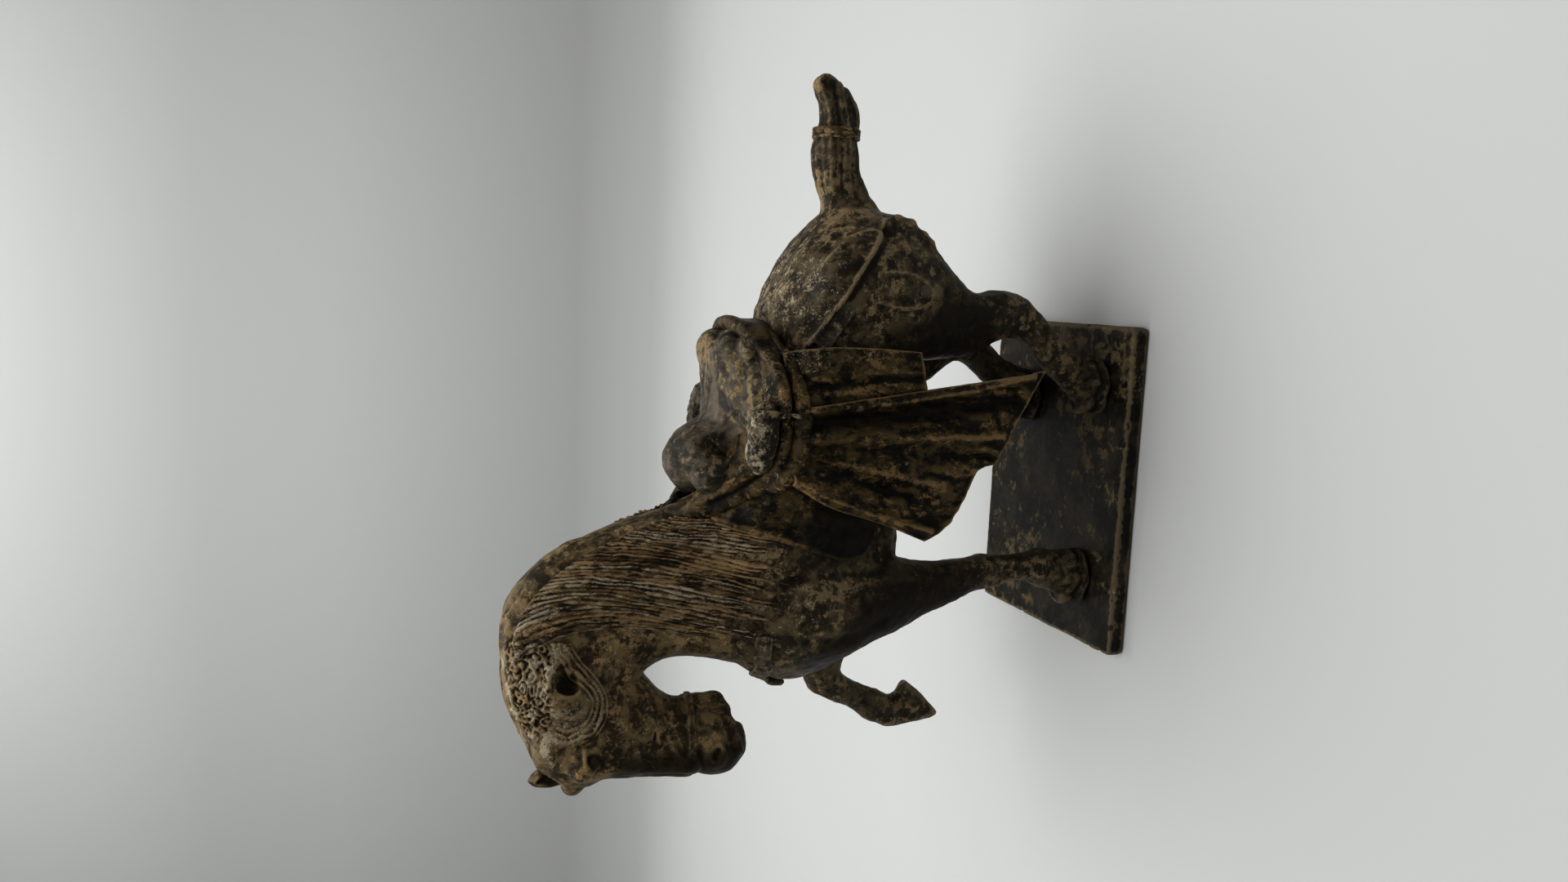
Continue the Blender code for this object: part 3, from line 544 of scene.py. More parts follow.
def turned_steel():
    """The socket screws: ring marks from turning, with a few dull stains."""
    look = Shading("turned_steel")
    rings = look.node("ShaderNodeTexWave", {"Vector": look.spot, "Scale": 900.0, "Distortion": 1.5},
                      wave_type="BANDS", bands_direction="Z").outputs["Fac"]
    stain = look.node("ShaderNodeTexNoise", {"Vector": look.spot, "Scale": 260.0}).outputs["Fac"]
    matt = look.node("ShaderNodeMapRange", {"Value": stain, "To Min": 0.28, "To Max": 0.5})
    look.fill(look.shader, {"Base Color": look.mix(stain, (0.16, 0.14, 0.12), (0.38, 0.37, 0.35)),
                            "Roughness": matt.outputs["Result"], "Metallic": 1.0,
                            "Normal": look.bump(rings, 0.3, 0.1)})
    return look.material


DARK = (0.024, 0.018, 0.010)
BROWN = (0.125, 0.094, 0.052)
TAN = (0.330, 0.255, 0.155)
iron = patina("body_patina", DARK, BROWN, TAN, cover=0.48)
face_iron = patina("head_patina", (0.032, 0.022, 0.010), (0.205, 0.150, 0.076),
                   (0.41, 0.295, 0.165), cover=0.38, grain=0.7)
hair_iron = patina("hair_patina", (0.020, 0.014, 0.008), (0.165, 0.108, 0.052),
                   (0.420, 0.300, 0.170), cover=0.66, grain=0.5, green=0.5, streak=0.35)
cloth_iron = patina("cloth_patina", (0.009, 0.007, 0.004), (0.105, 0.073, 0.030),
                    (0.290, 0.195, 0.095), cover=0.32, grain=0.6, rough=0.46, streak=0.75)
leather_iron = patina("saddle_patina", (0.026, 0.021, 0.015), (0.125, 0.102, 0.070), TAN,
                      cover=0.46, grain=0.9)
plate_iron = patina("plate_patina", (0.010, 0.009, 0.006), (0.040, 0.032, 0.021),
                    (0.190, 0.148, 0.086), cover=0.36, grain=1.8, rough=0.46)
steel = turned_steel()


# ---------------------------------------------------------------- horse

BODY_NODES = ("trunk_casting", "neck_casting", "foreleg_left", "foreleg_right", "hindleg_left",
              "hindleg_right", "tail_casting")

# The trunk's hollow core, filled: along, centre height, half height and half width.
CORE = np.array(((-66, 137, 34, 23), (-47, 138, 44, 31), (-24, 139, 46, 32), (0, 132, 39, 33),
                 (24, 126, 32, 33), (48, 125, 30, 32), (71, 122, 30, 32), (91, 116, 27, 30),
                 (103, 113, 21, 23)), float)
CORE_BOX = ((-70, -45, 80), (106, 37, 190))

MUSCLES = (                     # centre and radii of the shoulders, breast and thighs
    ((-52, -30, 128), (17, 9, 22)), ((-60, 22, 130), (15, 9, 20)), ((-46, -29, 106), (12, 8, 16)),
    ((84, -32, 118), (19, 10, 22)), ((82, 24, 118), (19, 10, 22)),
    ((74, -31, 98), (18, 9, 16)), ((60, 22, 98), (18, 9, 16)))
TASSELS = (                     # along, out, up and radius; the right side has the first three
    (108, 25.5, 112, 3.0), (110.5, 23, 106, 2.8), (108.8, 24, 100.5, 3.2), (104.5, 27, 96, 2.6),
    (101.5, 28.5, 92.5, 2.2))
HOOVES = ((-41, -27), (44.5, -31), (35.5, 22))             # the three that stand on the plate
RUMP_RIDGES = (                 # route, height and width of a crease of the hip and the thigh's swirl
    (((83, 144), (92, 139), (101, 130), (105, 118)), 0.55, 0.8),
    (((77, 119), (75, 109), (76, 99), (82, 96), (88, 104), (89, 115)), 0.5, 0.9))
CRUPPER_LINE = ((59, 144), (73, 135), (88, 127), (104, 116))
FLANK = ((62, 112), (66, 100), (72, 92), (84, 88))
CHEST_CREASES = (((-36, 150), (-33, 132), (-33, 116), (-30, 104)), ((-62, 140), (-60, 122), (-54, 108)))
SHIN_RIDGES = (((-43, 52), (-40, 40), (-39, 30)), ((-33, 52), (-33, 40), (-33, 30)))


def fill_core(clay):
    where, (x, y, z) = clay.window(*CORE_BOX)
    middle, tall, wide = (np.interp(x, CORE[:, 0], CORE[:, k]) for k in (1, 2, 3))
    ratio = np.sqrt(((z - middle) / tall) ** 2 + ((y - MID) / wide) ** 2)
    inside = (ratio - 1) * 20 + 8 * fade(np.abs(x - 18), 84, 88)
    clay.blend(where, inside, 0)


def muscles(clay):
    """Swellings that join the limbs to the trunk and shape the joints."""
    for centre, radii in MUSCLES:
        clay.egg(centre, radii, soft=9)
    for y, ahead in ((-27, 0), (19.5, -18)):
        clay.egg((76 + ahead, y, 61), (7, 5, 7), soft=4)                       # hock
        clay.chain([(79 + ahead, y, 62), (74 + ahead * 0.8, y + 1, 78), (72 + ahead * 0.7, y + 1, 90)],
                   [3.2, 2.4, 4], soft=3)                                      # tendon over it
    clay.egg((-37.5, -27, 58), (7.2, 6.4, 7), soft=3)                          # knees
    clay.egg((-113, 20, 84), (7, 6.4, 7), soft=3)
    clay.egg((-37, -27, 28), (8, 6.6, 5), soft=3)                              # fetlock
    for side, count in ((-1, 5), (1, 3)):
        for x, out, z, radius in TASSELS[:count]:
            clay.egg((x, MID + side * out, z), (radius, radius, radius * 0.9), soft=1.6)
    for x, y in HOOVES:
        clay.chain([(x - 9, y - 5, 16.5), (x - 11.5, y + 1, 16.3), (x - 8, y + 7, 16.5)], 2.2, soft=2)


def body_details(form):
    """Creases, ridges and swirls of the casting that are finer than the clay."""
    p = form.points
    x, y, z = p.T
    out = form.normals()[:, 1] * np.where(y < MID, -1, 1)
    sides = fade(out, 0.05, 0.4)
    rise = bumps(p, 0, (0.35, 16), (0.16, 5.5), (0.05, 2.2))

    rump = fade(x, 50, 60) * sides
    for route, height, width in RUMP_RIDGES:
        rise += rump * height * bell(gap_to(p, route), width)
    gap, side = line_gap(p[:, [0, 2]], curve(CRUPPER_LINE, 5))
    sunk = (side < 0) * (1 - bell(gap, 0.8)) * bell(gap, 8)
    rise += rump * (bell(gap, 1.1) - 1.8 * sunk)
    rise -= rump * 0.8 * bell(gap_to(p, FLANK), 2.6)
    chest = fade(-x, 30, 36) * fade(z, 88, 96)
    for route in CHEST_CREASES:
        rise -= chest * sides * 1.1 * bell(gap_to(p, route), 3.0)
    low = fade(-z, -70, -60)
    for route in SHIN_RIDGES:
        rise += low * sides * 0.55 * bell(gap_to(p, route), 1.5)

    rim = 9.6 + 0.9 * np.sin(x * 0.5)                      # the coronet, and the hair over it
    locks = 1.25 * z + 0.55 * x + bumps(p, 6, (2.2, 11))
    for along, across in HOOVES:
        near = fade(-np.hypot(x - along + 2, y - across), -18, -13) * fade(-z, -27, -24)
        rise += near * (0.5 * bell(z - rim, 0.8) - 0.5 * bell(z - rim - 3.4, 0.8))
        rise += near * fade(z, 10.5, 13) * 0.14 * np.sin(locks)

    tail = fade(x, 118, 126)
    spin = np.arctan2(z - 124, y - MID)
    wave = spin * 7 + 0.12 * x + 0.8 * np.sin(x * 0.12)
    rise += tail * (0.26 * np.sin(wave) + 0.14 * np.sin(wave * 2.7) + 0.2)
    return form.push(rise)


def carve_body():
    lows, highs = zip(*(box(node, 4) for node in BODY_NODES))
    clay = Clay(np.min(lows, 0), np.max(highs, 0), BODY_CELL).solid(*BODY_NODES, soft=1.2)
    fill_core(clay)
    muscles(clay)
    clay.ease(5)
    return body_details(clay.skin())


# spots of painted shade on the body, each an (x, z) and a reach
SHADE_SPOTS = (((-20, 132), 17), ((-60, 108), 27), ((50, 92), 20), ((-70, 132), 17), ((14, 108), 22),
        ((64, 80), 17), ((-46, 80), 13))                   # (x, z) and reach


def painted_shade(x, y, z):
    """Painted shade: darker by the cloth, on the chest, between the legs and lower down; the tail is
    darkened too.
    """
    between = fade(-np.abs(y - MID), -16, -6) * fade(-z, -120, -95)
    spots = [bell(np.hypot(x - along, z - up), reach) for (along, up), reach in SHADE_SPOTS]
    low = 0.28 * fade(-z, -128, -70) + 0.2 * fade(-z, -34, -14)
    tail = 0.4 * fade(x, 112, 124)
    return np.max([*spots, between * 0.9], 0) + low + tail


BODY_SEAMS = {                  # what is cut off: the window it lies in, and the seam's plane
    "neck": (lambda c: c.x < 5 and c.z > 150, NECK_SEAM),
    "foreleg_left": (lambda c: -75 < c.x < -20 and c.y < -8 and c.z < 95,
                     ((-45, -24, 88), (0, 0, -1))),
    "foreleg_right": (lambda c: c.x < -80 and c.y > 0 and c.z < 132,
                      ((-87, 17, 111), (-0.95, 0, -0.3))),
    "hindleg_left": (lambda c: c.y < -6 and c.x > 25 and (c.x > 50 or c.z < 80),
                     ((76, -26, 84), (-0.25, 0, -0.97))),
    "hindleg_right": (lambda c: c.y > -2 and c.x > 5 and (c.x > 36 or c.z < 80),
                      ((60, 18, 84), (-0.25, 0, -0.97))),
    "tail": (lambda c: c.x > 100, ((118.5, MID, 118), (1, 0, 0))),
}


def add_body():
    form = carve_body()
    form.weather()
    x, y, z = form.points.T
    chest = 0.40 * bell(np.hypot(x + 50, z - 138), 14)
    rump = 0.32 * fade(x, 60, 72)
    # the crust, less painted shade on the chest, by the cloth, between the legs and lower down
    form.paint["crust_and_shade"] = (0.3 + rump) * fade(z, 116, 150) + chest - painted_shade(x, y, z)
    whole = to_bmesh("body", form)
    pieces = {label: split_off(whole, *BODY_SEAMS[label]) for label in BODY_SEAMS}
    close_cuts(whole)
    pieces.pop("neck").free()
    place("trunk", whole, ["trunk_casting"], iron)
    for label, part in pieces.items():
        node = "tail_casting" if label == "tail" else label
        place(f"{label}_form", part, [node], iron)
    return form


# ---------------------------------------------------------------- head and neck

FRONT_BOX = ((-126, -46, 136), (4, 32, 266))
RING = [(-2.4, 44), (-4.5, 35.5), (-1.4, 26.6), (5, 21.7), (12.8, 21.0), (20.3, 25.5), (27, 32),
        (33, 36)]               # the outer edge of the rings of hair, along and up
EAR_BOWL = (18.6, 37.6)         # along and up
EYE = (-11.4, 26.8)


def head_axes(lean=0.0):
    turn = Matrix(((COS, -SIN, 0), (SIN, COS, 0), (0, 0, 1))) @ Matrix.Rotation(lean, 3, "Y")
    return [list(row) for row in turn]


class HeadTool:
    """Shapes the clay in the head's own directions; across is counted out to one side."""

    def __init__(self, clay, side):
        self.clay = clay
        self.side = side        # -1 is the horse's left

    def spot(self, point):
        return to_head((point[0], self.side * point[1], point[2]))

    def egg(self, centre, radii, soft, lean=0.0, carve=False):
        self.clay.egg(self.spot(centre), radii, soft, carve, head_axes(lean))

    def rod(self, points, radii, soft, carve=False):
        self.clay.chain([self.spot(p) for p in points], radii, soft, carve)


def face(clay):
    """Sockets, brows, nostrils, lips, chin and cheeks, the same on both sides."""
    for side in (-1, 1):
        tool = HeadTool(clay, side)
        tool.egg((4, 9, 13), (13.5, 5.5, 15), soft=4)                          # cheek
        bulge = 1.0 if side > 0 else 0.5
        tool.egg((-14.6, 9.8, 31.6), (5.8 * bulge, 5.2 * bulge, 4.6 * bulge), soft=5, lean=0.6)   # brow
        tool.egg((-11.4, 13.8, 26.8), (3.8, 3.4, 2.6), soft=1.4, lean=-0.6, carve=True)
        tool.egg((-11.2, 11.8, 26.6), (2.7, 2.5, 2.2), soft=0.4, lean=-0.6)    # eye
        tool.rod([(-14.6, 11.4, 27.5), (-11.4, 13.4, 30.4), (-7, 14.6, 30.6)], [0.4, 0.6, 0.3],
                 soft=2.2)                                                     # upper lid
        tool.rod([(-13.5, 9, 20), (-13.4, 8, 8), (-13.6, 7.4, -6), (-14, 6.6, -14)],
                 [1.5, 1.2, 1.2, 1.5], soft=4)                                 # nose plane
        tool.rod([(-12.0, 5, 13), (-13.4, 5, 0), (-15.0, 4.6, -14)], 3.1, soft=3)
        tool.rod([(-9, 12, 17), (-7.5, 11.6, 6), (-7, 10.4, -6)], [0.8, 1.0, 0.5], soft=4, carve=True)
        tool.egg((-11.2, 6.8, -23.4), (5.4, 3.6, 4.6), soft=3.0, lean=0.4)     # nostril
        tool.egg((-12.2, 10.4, -23.6), (3.2, 3.2, 2.3), soft=1.0, lean=0.6, carve=True)
        tool.rod([(-15.2, 7.0, -25.5), (-12.5, 9.4, -27.2), (-8.6, 9.8, -25.6), (-7.2, 9.4, -22)],
                 [0.5, 0.8, 0.7, 0.3], soft=1.0)
        tool.rod([(-12, 8.0, -31.5), (-6, 9.6, -30.0), (-1, 9.8, -29.6), (4, 8.8, -27.4)],
                 [0.8, 0.9, 0.9, 0.4], soft=0.7, carve=True)                   # mouth
        tool.rod([(-11, 6.6, -34), (-5, 8.2, -33), (0, 8.6, -32)], [1.8, 1.6, 0.9], soft=1.5)
        tool.egg((6.0, 4.0, -29.0), (4.4, 3.6, 3.0), soft=2.5)
        tool.rod([(-8, 10.4, 1), (-1, 11.4, 2), (6, 11.0, 0.6)], [0.5, 0.7, 0.5], soft=0.5, carve=True)
        tool.egg((11.2, 4.5, -25.5), (3.4, 3.8, 5.0), soft=1.8)                # chin knob
    tool = HeadTool(clay, 1)
    tool.rod([(-23.5, -13, 20), (-22.5, 0, 19.5), (-23.5, 13, 20)], 3.8, soft=8, carve=True)
    tool.egg((-12.4, 0, -25), (6.0, 7.4, 8.5), soft=4)                         # nose
    tool.rod([(4.4, -11, -36.4), (4.4, 11, -36.4)], 3.6, soft=1.6, carve=True)   # behind the lips


def ears(clay):
    """The left ear is a scooped leaf that lies back over the rings of hair; the right one stands up."""
    tool = HeadTool(clay, -1)
    tool.egg((16.5, 18.6, 37), (9.5, 5.0, 8.5), soft=4)
    tool.egg((9.8, 17.2, 33.6), (4.2, 3.4, 4.6), soft=1.6)
    tool.egg((18.6, 23.6, 37.6), (4.2, 4.4, 5.6), soft=1.2, lean=0.5, carve=True)
    tool.rod([(12.5, 21.4, 42.6), (19, 23.4, 44.8), (25, 25.4, 42.4), (28, 26.6, 37.6), (33, 27.6, 38)],
             [0.9, 1.5, 1.7, 1.3, 0.5], soft=1.4)
    tool = HeadTool(clay, 1)
    tool.rod([(-8.5, 13, 30), (-10.5, 15.5, 38), (-11.6, 17.5, 44), (-12.2, 19, 49)],
             [5.0, 5.0, 3.8, 0.5], soft=1.5)
    tool.rod([(-11.6, 10.4, 34), (-12.9, 12.5, 40), (-13.4, 15.6, 45)], [2.4, 3.2, 1.0], soft=0.8,
             carve=True)


def crown(clay):
    """The smooth top of the poll, between the far ear and the crest."""
    HeadTool(clay, 1).rod([(-3, 3, 37.5), (5, 3, 43.6), (14, 2, 48.4), (25, 0, 51.8), (40, -1, 52.0)],
                          [5, 6.6, 7, 7, 7], soft=6)
    clay.chain([(-62, -7, 251.5), (-50, -6, 248.5), (-39, -6, 239.5), (-32, -5.5, 230)],
               [7, 8.5, 8.5, 8], soft=5)


def head_details(form):
    """The rings and curls of hair on both sides, what is rubbed or crusted, and painted shade where the
    head is darkened.
    """
    p = form.points
    x, y, z = p.T
    q = from_head(p)
    along, across, up = q.T
    rise = bumps(p, 3, (0.12, 9), (0.06, 3))
    signed = gap_to(q, RING, 6) * np.where(inside_ring(q), -1, 1)
    band = fade(-signed, -0.6, 0.3) * fade(signed, -7.4, -6.0)
    strand = np.cos(signed * 2 * math.pi / 2.1 + bumps(p, 8, (1.5, 12)))
    depth = 0.30 + 0.70 * fade(along, -4, 4) * fade(-up, -42, -30)
    depth *= 0.7 + bumps(p, 12, (0.4, 7))
    locks = fade(up, 40.5, 45) * fade(-up, -61, -56) * fade(along, 0, 5) * fade(-along, -44, -34)
    curls = 0.95 + 0.42 * np.cos(bumps(p, 9, (5.5, 6.5))) + bumps(p, 10, (0.5, 2.6))
    tone, inside = np.zeros(len(p)), np.zeros(len(p))
    for side in (-1, 1):
        out = fade(side * across, 5, 9)
        rise += out * band * depth * (0.85 + 0.42 * strand)
        tone += out * band * depth * 0.55 * strand
        inside += out * fade(-signed, -0.3, 1.2) * fade(-up, -46, -41)
        out = fade(side * across, 2, 7)
        rise += out * locks * (curls - 0.6)
        tone += out * locks * np.clip(1.1 * (curls - 0.95), -1, 0.6)
    rise += fade(up, 50, 56) * 0.22 * np.sin(1.4 * y + bumps(p, 5, (1.6, 7)))
    form.push(rise)
    form.weather()

    beside = np.abs(across)
    top = fade(z, 236, 247) * fade(-x, 46, 60) * (0.45 + 0.55 * fade(beside, 4, 10))
    top *= fade(-along, -44, -32)
    bowl = bell(np.hypot(along - EAR_BOWL[0], up - EAR_BOWL[1]), 5.4)
    form.wear(0.9 * tone + 0.5 * inside * (1 - bowl) + 0.25 * top)
    crust_and_shade = 1.3 * top * (0.5 + bumps(p, 13, (0.9, 11))) + 0.6 * inside * (1 - bowl) + 0.5 * tone
    # painted shade: darker in the ear's hollow, down the front of the face, on the standing ear and
    # round the eye; the lips are made darker too
    crust_and_shade -= 1.1 * bowl * inside
    crust_and_shade -= 0.75 * bell(along + 15, 6) * fade(-up, -24, -16)                  # front of the face
    crust_and_shade -= 0.9 * fade(up, 35, 39) * fade(across, 6, 10) * fade(-along, 0, 6)   # standing ear
    crust_and_shade -= 0.4 * fade(-up, 24, 32)                                           # lips
    crust_and_shade -= bell(np.hypot(along - EYE[0], up - EYE[1]), 3.0) * fade(beside, 8, 10)
    form.paint["crust_and_shade"] = crust_and_shade
    return form


def inside_ring(q):
    """Whether each point, seen from the head's side, is on the ear's side of the hair ring."""
    loop = curve(RING, 6)
    loop = np.vstack([loop, (36, 60), (-2, 60), loop[0]])
    x, _, z = q.T
    odd = np.zeros(len(q), bool)
    for (x1, z1), (x2, z2) in zip(loop, loop[1:]):
        crosses = (z1 > z) != (z2 > z)
        with np.errstate(divide="ignore", invalid="ignore"):
            odd ^= crosses & (x < (x2 - x1) * (z - z1) / (z2 - z1) + x1)
    return odd


def carve_front():
    clay = Clay(*FRONT_BOX, FRONT_CELL)
    clay.solid("trunk_casting", "neck_casting", "head_casting", soft=1.2)
    fill_core(clay)
    muscles(clay)
    clay.ease(10)
    clay.solid("noseband", soft=2.5, grow=-0.5)
    face(clay)
    ears(clay)
    crown(clay)
    clay.ease(1)
    return head_details(clay.skin())


def add_front():
    form = carve_front()
    whole = to_bmesh("front", form)
    neck = split_off(whole, lambda c: True, NECK_SEAM)
    whole.free()
    head = split_off(neck, lambda c: c.z > 162, HEAD_SEAM)
    close_cuts(neck)
    place("neck", neck, ["neck_casting"], face_iron)
    place("head", head, ["head_casting", "ear_left", "ear_right", "forelock"], face_iron)
    return form


# ---------------------------------------------------------------- mane

MANE_LINES = (                  # (x, z) from the mane's front edge to the withers, at four depths
    (0.0, [(-69, 254), (-60, 255.5), (-48, 251), (-38, 243.5), (-28.5, 231), (-21, 216),
           (-15.5, 202), (-12, 189)]),
    (0.3, [(-57, 233), (-51, 232), (-43, 228), (-35, 221), (-26, 210), (-19, 197), (-12.5, 183)]),
    (0.6, [(-56, 205), (-50, 200), (-42, 196), (-33, 193), (-25, 188), (-18, 181), (-12, 173)]),
    (1.0, [(-65, 164), (-59, 155), (-50, 147), (-40, 145), (-30, 145.5), (-21, 148), (-13.5, 157)]),
)
MANE_ROWS = 180
MANE_COLUMNS = 250
MANE_SUNK = 1.6                 # how deep its inner face lies in the neck
STRANDS = 33
KINDS = 64                      # strands that each have a length, depth and tone of their own
LOCK = 3.6                      # strands in a lock
WANDER = (                      # waves of the strands: size, turns down and back, and start
    (0.30, 1.1, 2.3, 0), (0.16, 2.7, -5.3, 0.2), (0.08, 6.5, 9.1, 0))
BREAK = 4                       # rows between the random numbers that break up a strand
RAY_START = 90                  # how far out to a side the rays that find the skin start
MISS_START = 20                 # and where the nearest skin is looked for when a ray misses


def even(line, count):
    """count points at equal steps along a smooth line."""
    return sampled(curve(line, 12), count)


def sampled(line, count):
    """count points at equal steps along a polyline, corners kept."""
    line = np.array(line, float)
    reach = np.concatenate([[0], np.cumsum(np.linalg.norm(np.diff(line, axis=0), axis=1))])
    want = np.linspace(0, reach[-1], count)
    return np.stack([np.interp(want, reach, line[:, k]) for k in range(line.shape[1])], 1)


def mane_grid(t):
    """Rows of (x, z) points, even from the front of the mane back, at each part t of its depth."""
    depths = [depth for depth, _ in MANE_LINES]
    lines = np.array([even(line, MANE_COLUMNS) for _, line in MANE_LINES])
    weights = [np.prod([(t - b) / (a - b) for b in depths if b != a], axis=0) for a in depths]
    return sum(w[..., None] * line[None] for w, line in zip(weights, lines))


def draped(flat, look, skin):
    """Where each (x, z) point meets the skin, seen along look, and the smoothed normals there."""
    spots, normals = np.zeros((*flat.shape[:2], 3)), np.zeros((*flat.shape[:2], 3))
    for index in np.ndindex(flat.shape[:2]):
        x, z = flat[index]
        spot, normal, _, _ = skin.ray_cast(Vector((x, -RAY_START * look, z)), Vector((0, look, 0)))
        if spot is None:
            spot, normal, _, _ = skin.find_nearest(Vector((x, -MISS_START * look, z)))
        spots[index] = spot
        normals[index] = normal
    for _ in range(3):
        for axis in (0, 1):
            n = np.moveaxis(normals, axis, 0)
            n[1:-1] = (n[:-2] + 2 * n[1:-1] + n[2:]) / 4
    return spots, normals / np.linalg.norm(normals, axis=2, keepdims=True)


def add_mane(name, look, skin):
    """Strands that fan from the crest, with pointed ends of uneven length."""
    s = np.linspace(0, 1, MANE_COLUMNS)[None, :]
    t = np.linspace(0, 1, MANE_ROWS)[:, None]
    chance = np.random.default_rng(SEED + (20 if look > 0 else 30))
    count = s * STRANDS + sum(size * np.sin(2 * math.pi * (down * t + back * s + start))
                              for size, down, back, start in WANDER)
    strand = np.floor(count).astype(int) % KINDS
    across = count - np.floor(count)
    ridge = 1 - np.abs(2 * across - 1) ** 2.0
    fine = 0.5 + 0.5 * np.cos(2 * math.pi * (across * 2 + 0.2 * np.sin(9 * t + strand)))
    length = chance.uniform(0.84, 1.0, KINDS)[strand]
    deep = chance.uniform(0.45, 1.25, KINDS)[strand]
    tip = fade(t, length - 0.14, length)
    width = np.clip(1 - tip, 0.02, 1)
    ridge = np.where(np.abs(2 * across - 1) > width, 0, ridge)
    rim = fade(s, 0, 0.03) * fade(1 - s, 0, 0.02) * fade(t, 0, 0.02) * fade(1 - t, 0, 0.02)
    rough = chance.normal(size=(MANE_ROWS // BREAK + 2, KINDS))
    rows = np.arange(MANE_ROWS)
    broken = np.stack([np.interp(rows / BREAK, np.arange(len(rough)), column) for column in rough.T], 1)
    broken = broken[rows[:, None], strand]

    locks = 0.5 + 0.5 * np.cos(2 * math.pi * (count / LOCK + 0.4 * np.sin(3 * t)))
    thick = 0.25 + 0.80 * ridge * deep + 0.16 * fine * ridge + 0.06 * broken * ridge + 0.55 * locks
    thick = np.where(ridge <= 0.02, 0.15 - 0.9 * tip, thick * (1 - 0.8 * tip))
    lift = -0.7 + (thick + 0.9) * rim
    spots, normals = draped(mane_grid(t), look, skin)
    form = slab(spots - normals * MANE_SUNK, spots + normals * lift[..., None])

    wear = np.clip(1.2 * (ridge * deep - 0.55) + 0.18 * broken, -1, 1) * rim
    form.paint["wear"] = np.concatenate([wear.ravel(), np.full(wear.size, -1.0)])
    pale = chance.uniform(-0.35, 0.55, KINDS)[strand]
    crust_and_shade = 0.5 * fade(1 - t, 0.7, 1.0) * fade(1 - s, 0.4, 0.9) + (0.42 + pale) * ridge + 0.12 * broken
    crust_and_shade = crust_and_shade - 0.8 * fade(1 - t, 0.94, 1.0) * fade(s, 0.1, 0.3)
    crust_and_shade = crust_and_shade - 0.9 * fade(t, 0.8, 1.0) * fade(s, 0.35, 0.75)
    form.paint["crust_and_shade"] = np.concatenate([crust_and_shade.ravel(), np.zeros(wear.size)])
    side = "left" if look > 0 else "right"
    place(name, form, [f"mane_{side}"], hair_iron)


# ---------------------------------------------------------------- plate

def add_plate():
    low, high = box("base_plate")
    form = Clay(low - 3, high + 3, PLATE_CELL).solid("base_plate", grow=-0.1).ease(3).skin()
    p = form.points
    z = p[:, 2]
    edge = np.minimum(p - low, high - p)[:, :2].min(1)     # how far in from the nearest wall
    rise = bumps(p, 40, (0.16, 26), (0.07, 7), (0.04, 2.6))
    rise -= 0.5 * fade(bumps(p, 43, (1, 9)), 0.5, 1.1) * bell(edge, 1.6) * fade(z, 4, 7)
    form.push(rise * fade(z, 1.0, 2.5))
    form.weather(fine=3, broad=14)
    form.wear(0.6 * bell(edge, 1.4) * fade(z, 5.5, 7), 2.2)
    margin = bell(edge, 9) * np.clip(0.5 + bumps(p, 44, (1.2, 30)), 0, 1)
    wall = bell(edge, 1.5) * fade(-z, -5.8, -4.8) * np.clip(0.6 + bumps(p, 45, (1.2, 14)), 0, 1)
    form.wear(0.42 * margin + 0.6 * wall)
    form.paint["crust_and_shade"] = 0.30 * bell(edge, 2.0) * fade(z, 5.5, 7.4)
    place("plate", form, ["base_plate"], plate_iron)


# ---------------------------------------------------------------- saddle

SADDLE_BOX = ((-22, -56, 136.0), (78, 48, 204.0))
PAD_ROLLS = (                   # route on the left, radii and softness, in the order they are added
    (((2, -33, 162), (5, -38.5, 156), (12, -43.5, 151.2), (22, -45.5, 149.6), (34, -45.5, 149.8),
      (46, -42.5, 151.8), (56, -37, 155)), (2.4, 4.0, 4.2, 3.9, 3.3, 2.6, 1.6), 3.5),
    (((-6, -20, 178), (0, -29, 168), (7, -37, 160.5), (15, -42.5, 157.4), (26, -45, 156.4),
      (39, -44.5, 157.2), (50, -41, 160), (58, -33, 164.5), (62, -22, 167.5)),
     (1.6, 1.9, 2.1, 2.2, 2.2, 2.2, 2.3, 2.4, 2.2), 1.6),
    (((-12, -8, 192), (-11, -15, 186), (-8.5, -21, 179), (-4, -27, 171.5), (2, -33, 164)),
     (2.4, 3.0, 3.6, 3.6, 3.0), 3),
    (((56, -34, 160.5), (61, -28, 164.5), (64, -18, 167), (66, -6, 168.5)), (2.0, 3.4, 3.8, 3.0), 2))
ROLL_OUT = 37.5                 # how far the small rolls lie from the middle plane


def add_pad():
    """The padded cloth under the seat, with its rims and the roll that hangs over each side."""
    clay = Clay(*SADDLE_BOX, SADDLE_CELL).solid("saddle_pad").ease(4)
    for left, radii, soft in PAD_ROLLS:
        for route in both_sides(left):
            clay.chain(route, radii, soft)
    form = clay.ease(2).skin()
    form.push(bumps(form.points, 50, (0.22, 10), (0.08, 3)))
    form.weather()
    _, y, z = form.points.T
    form.paint["crust_and_shade"] = 0.62 * fade(z, 153, 158) * fade(np.abs(y - MID), 24, 36) - 0.2
    place("pad", form, ["saddle_pad"], cloth_iron)


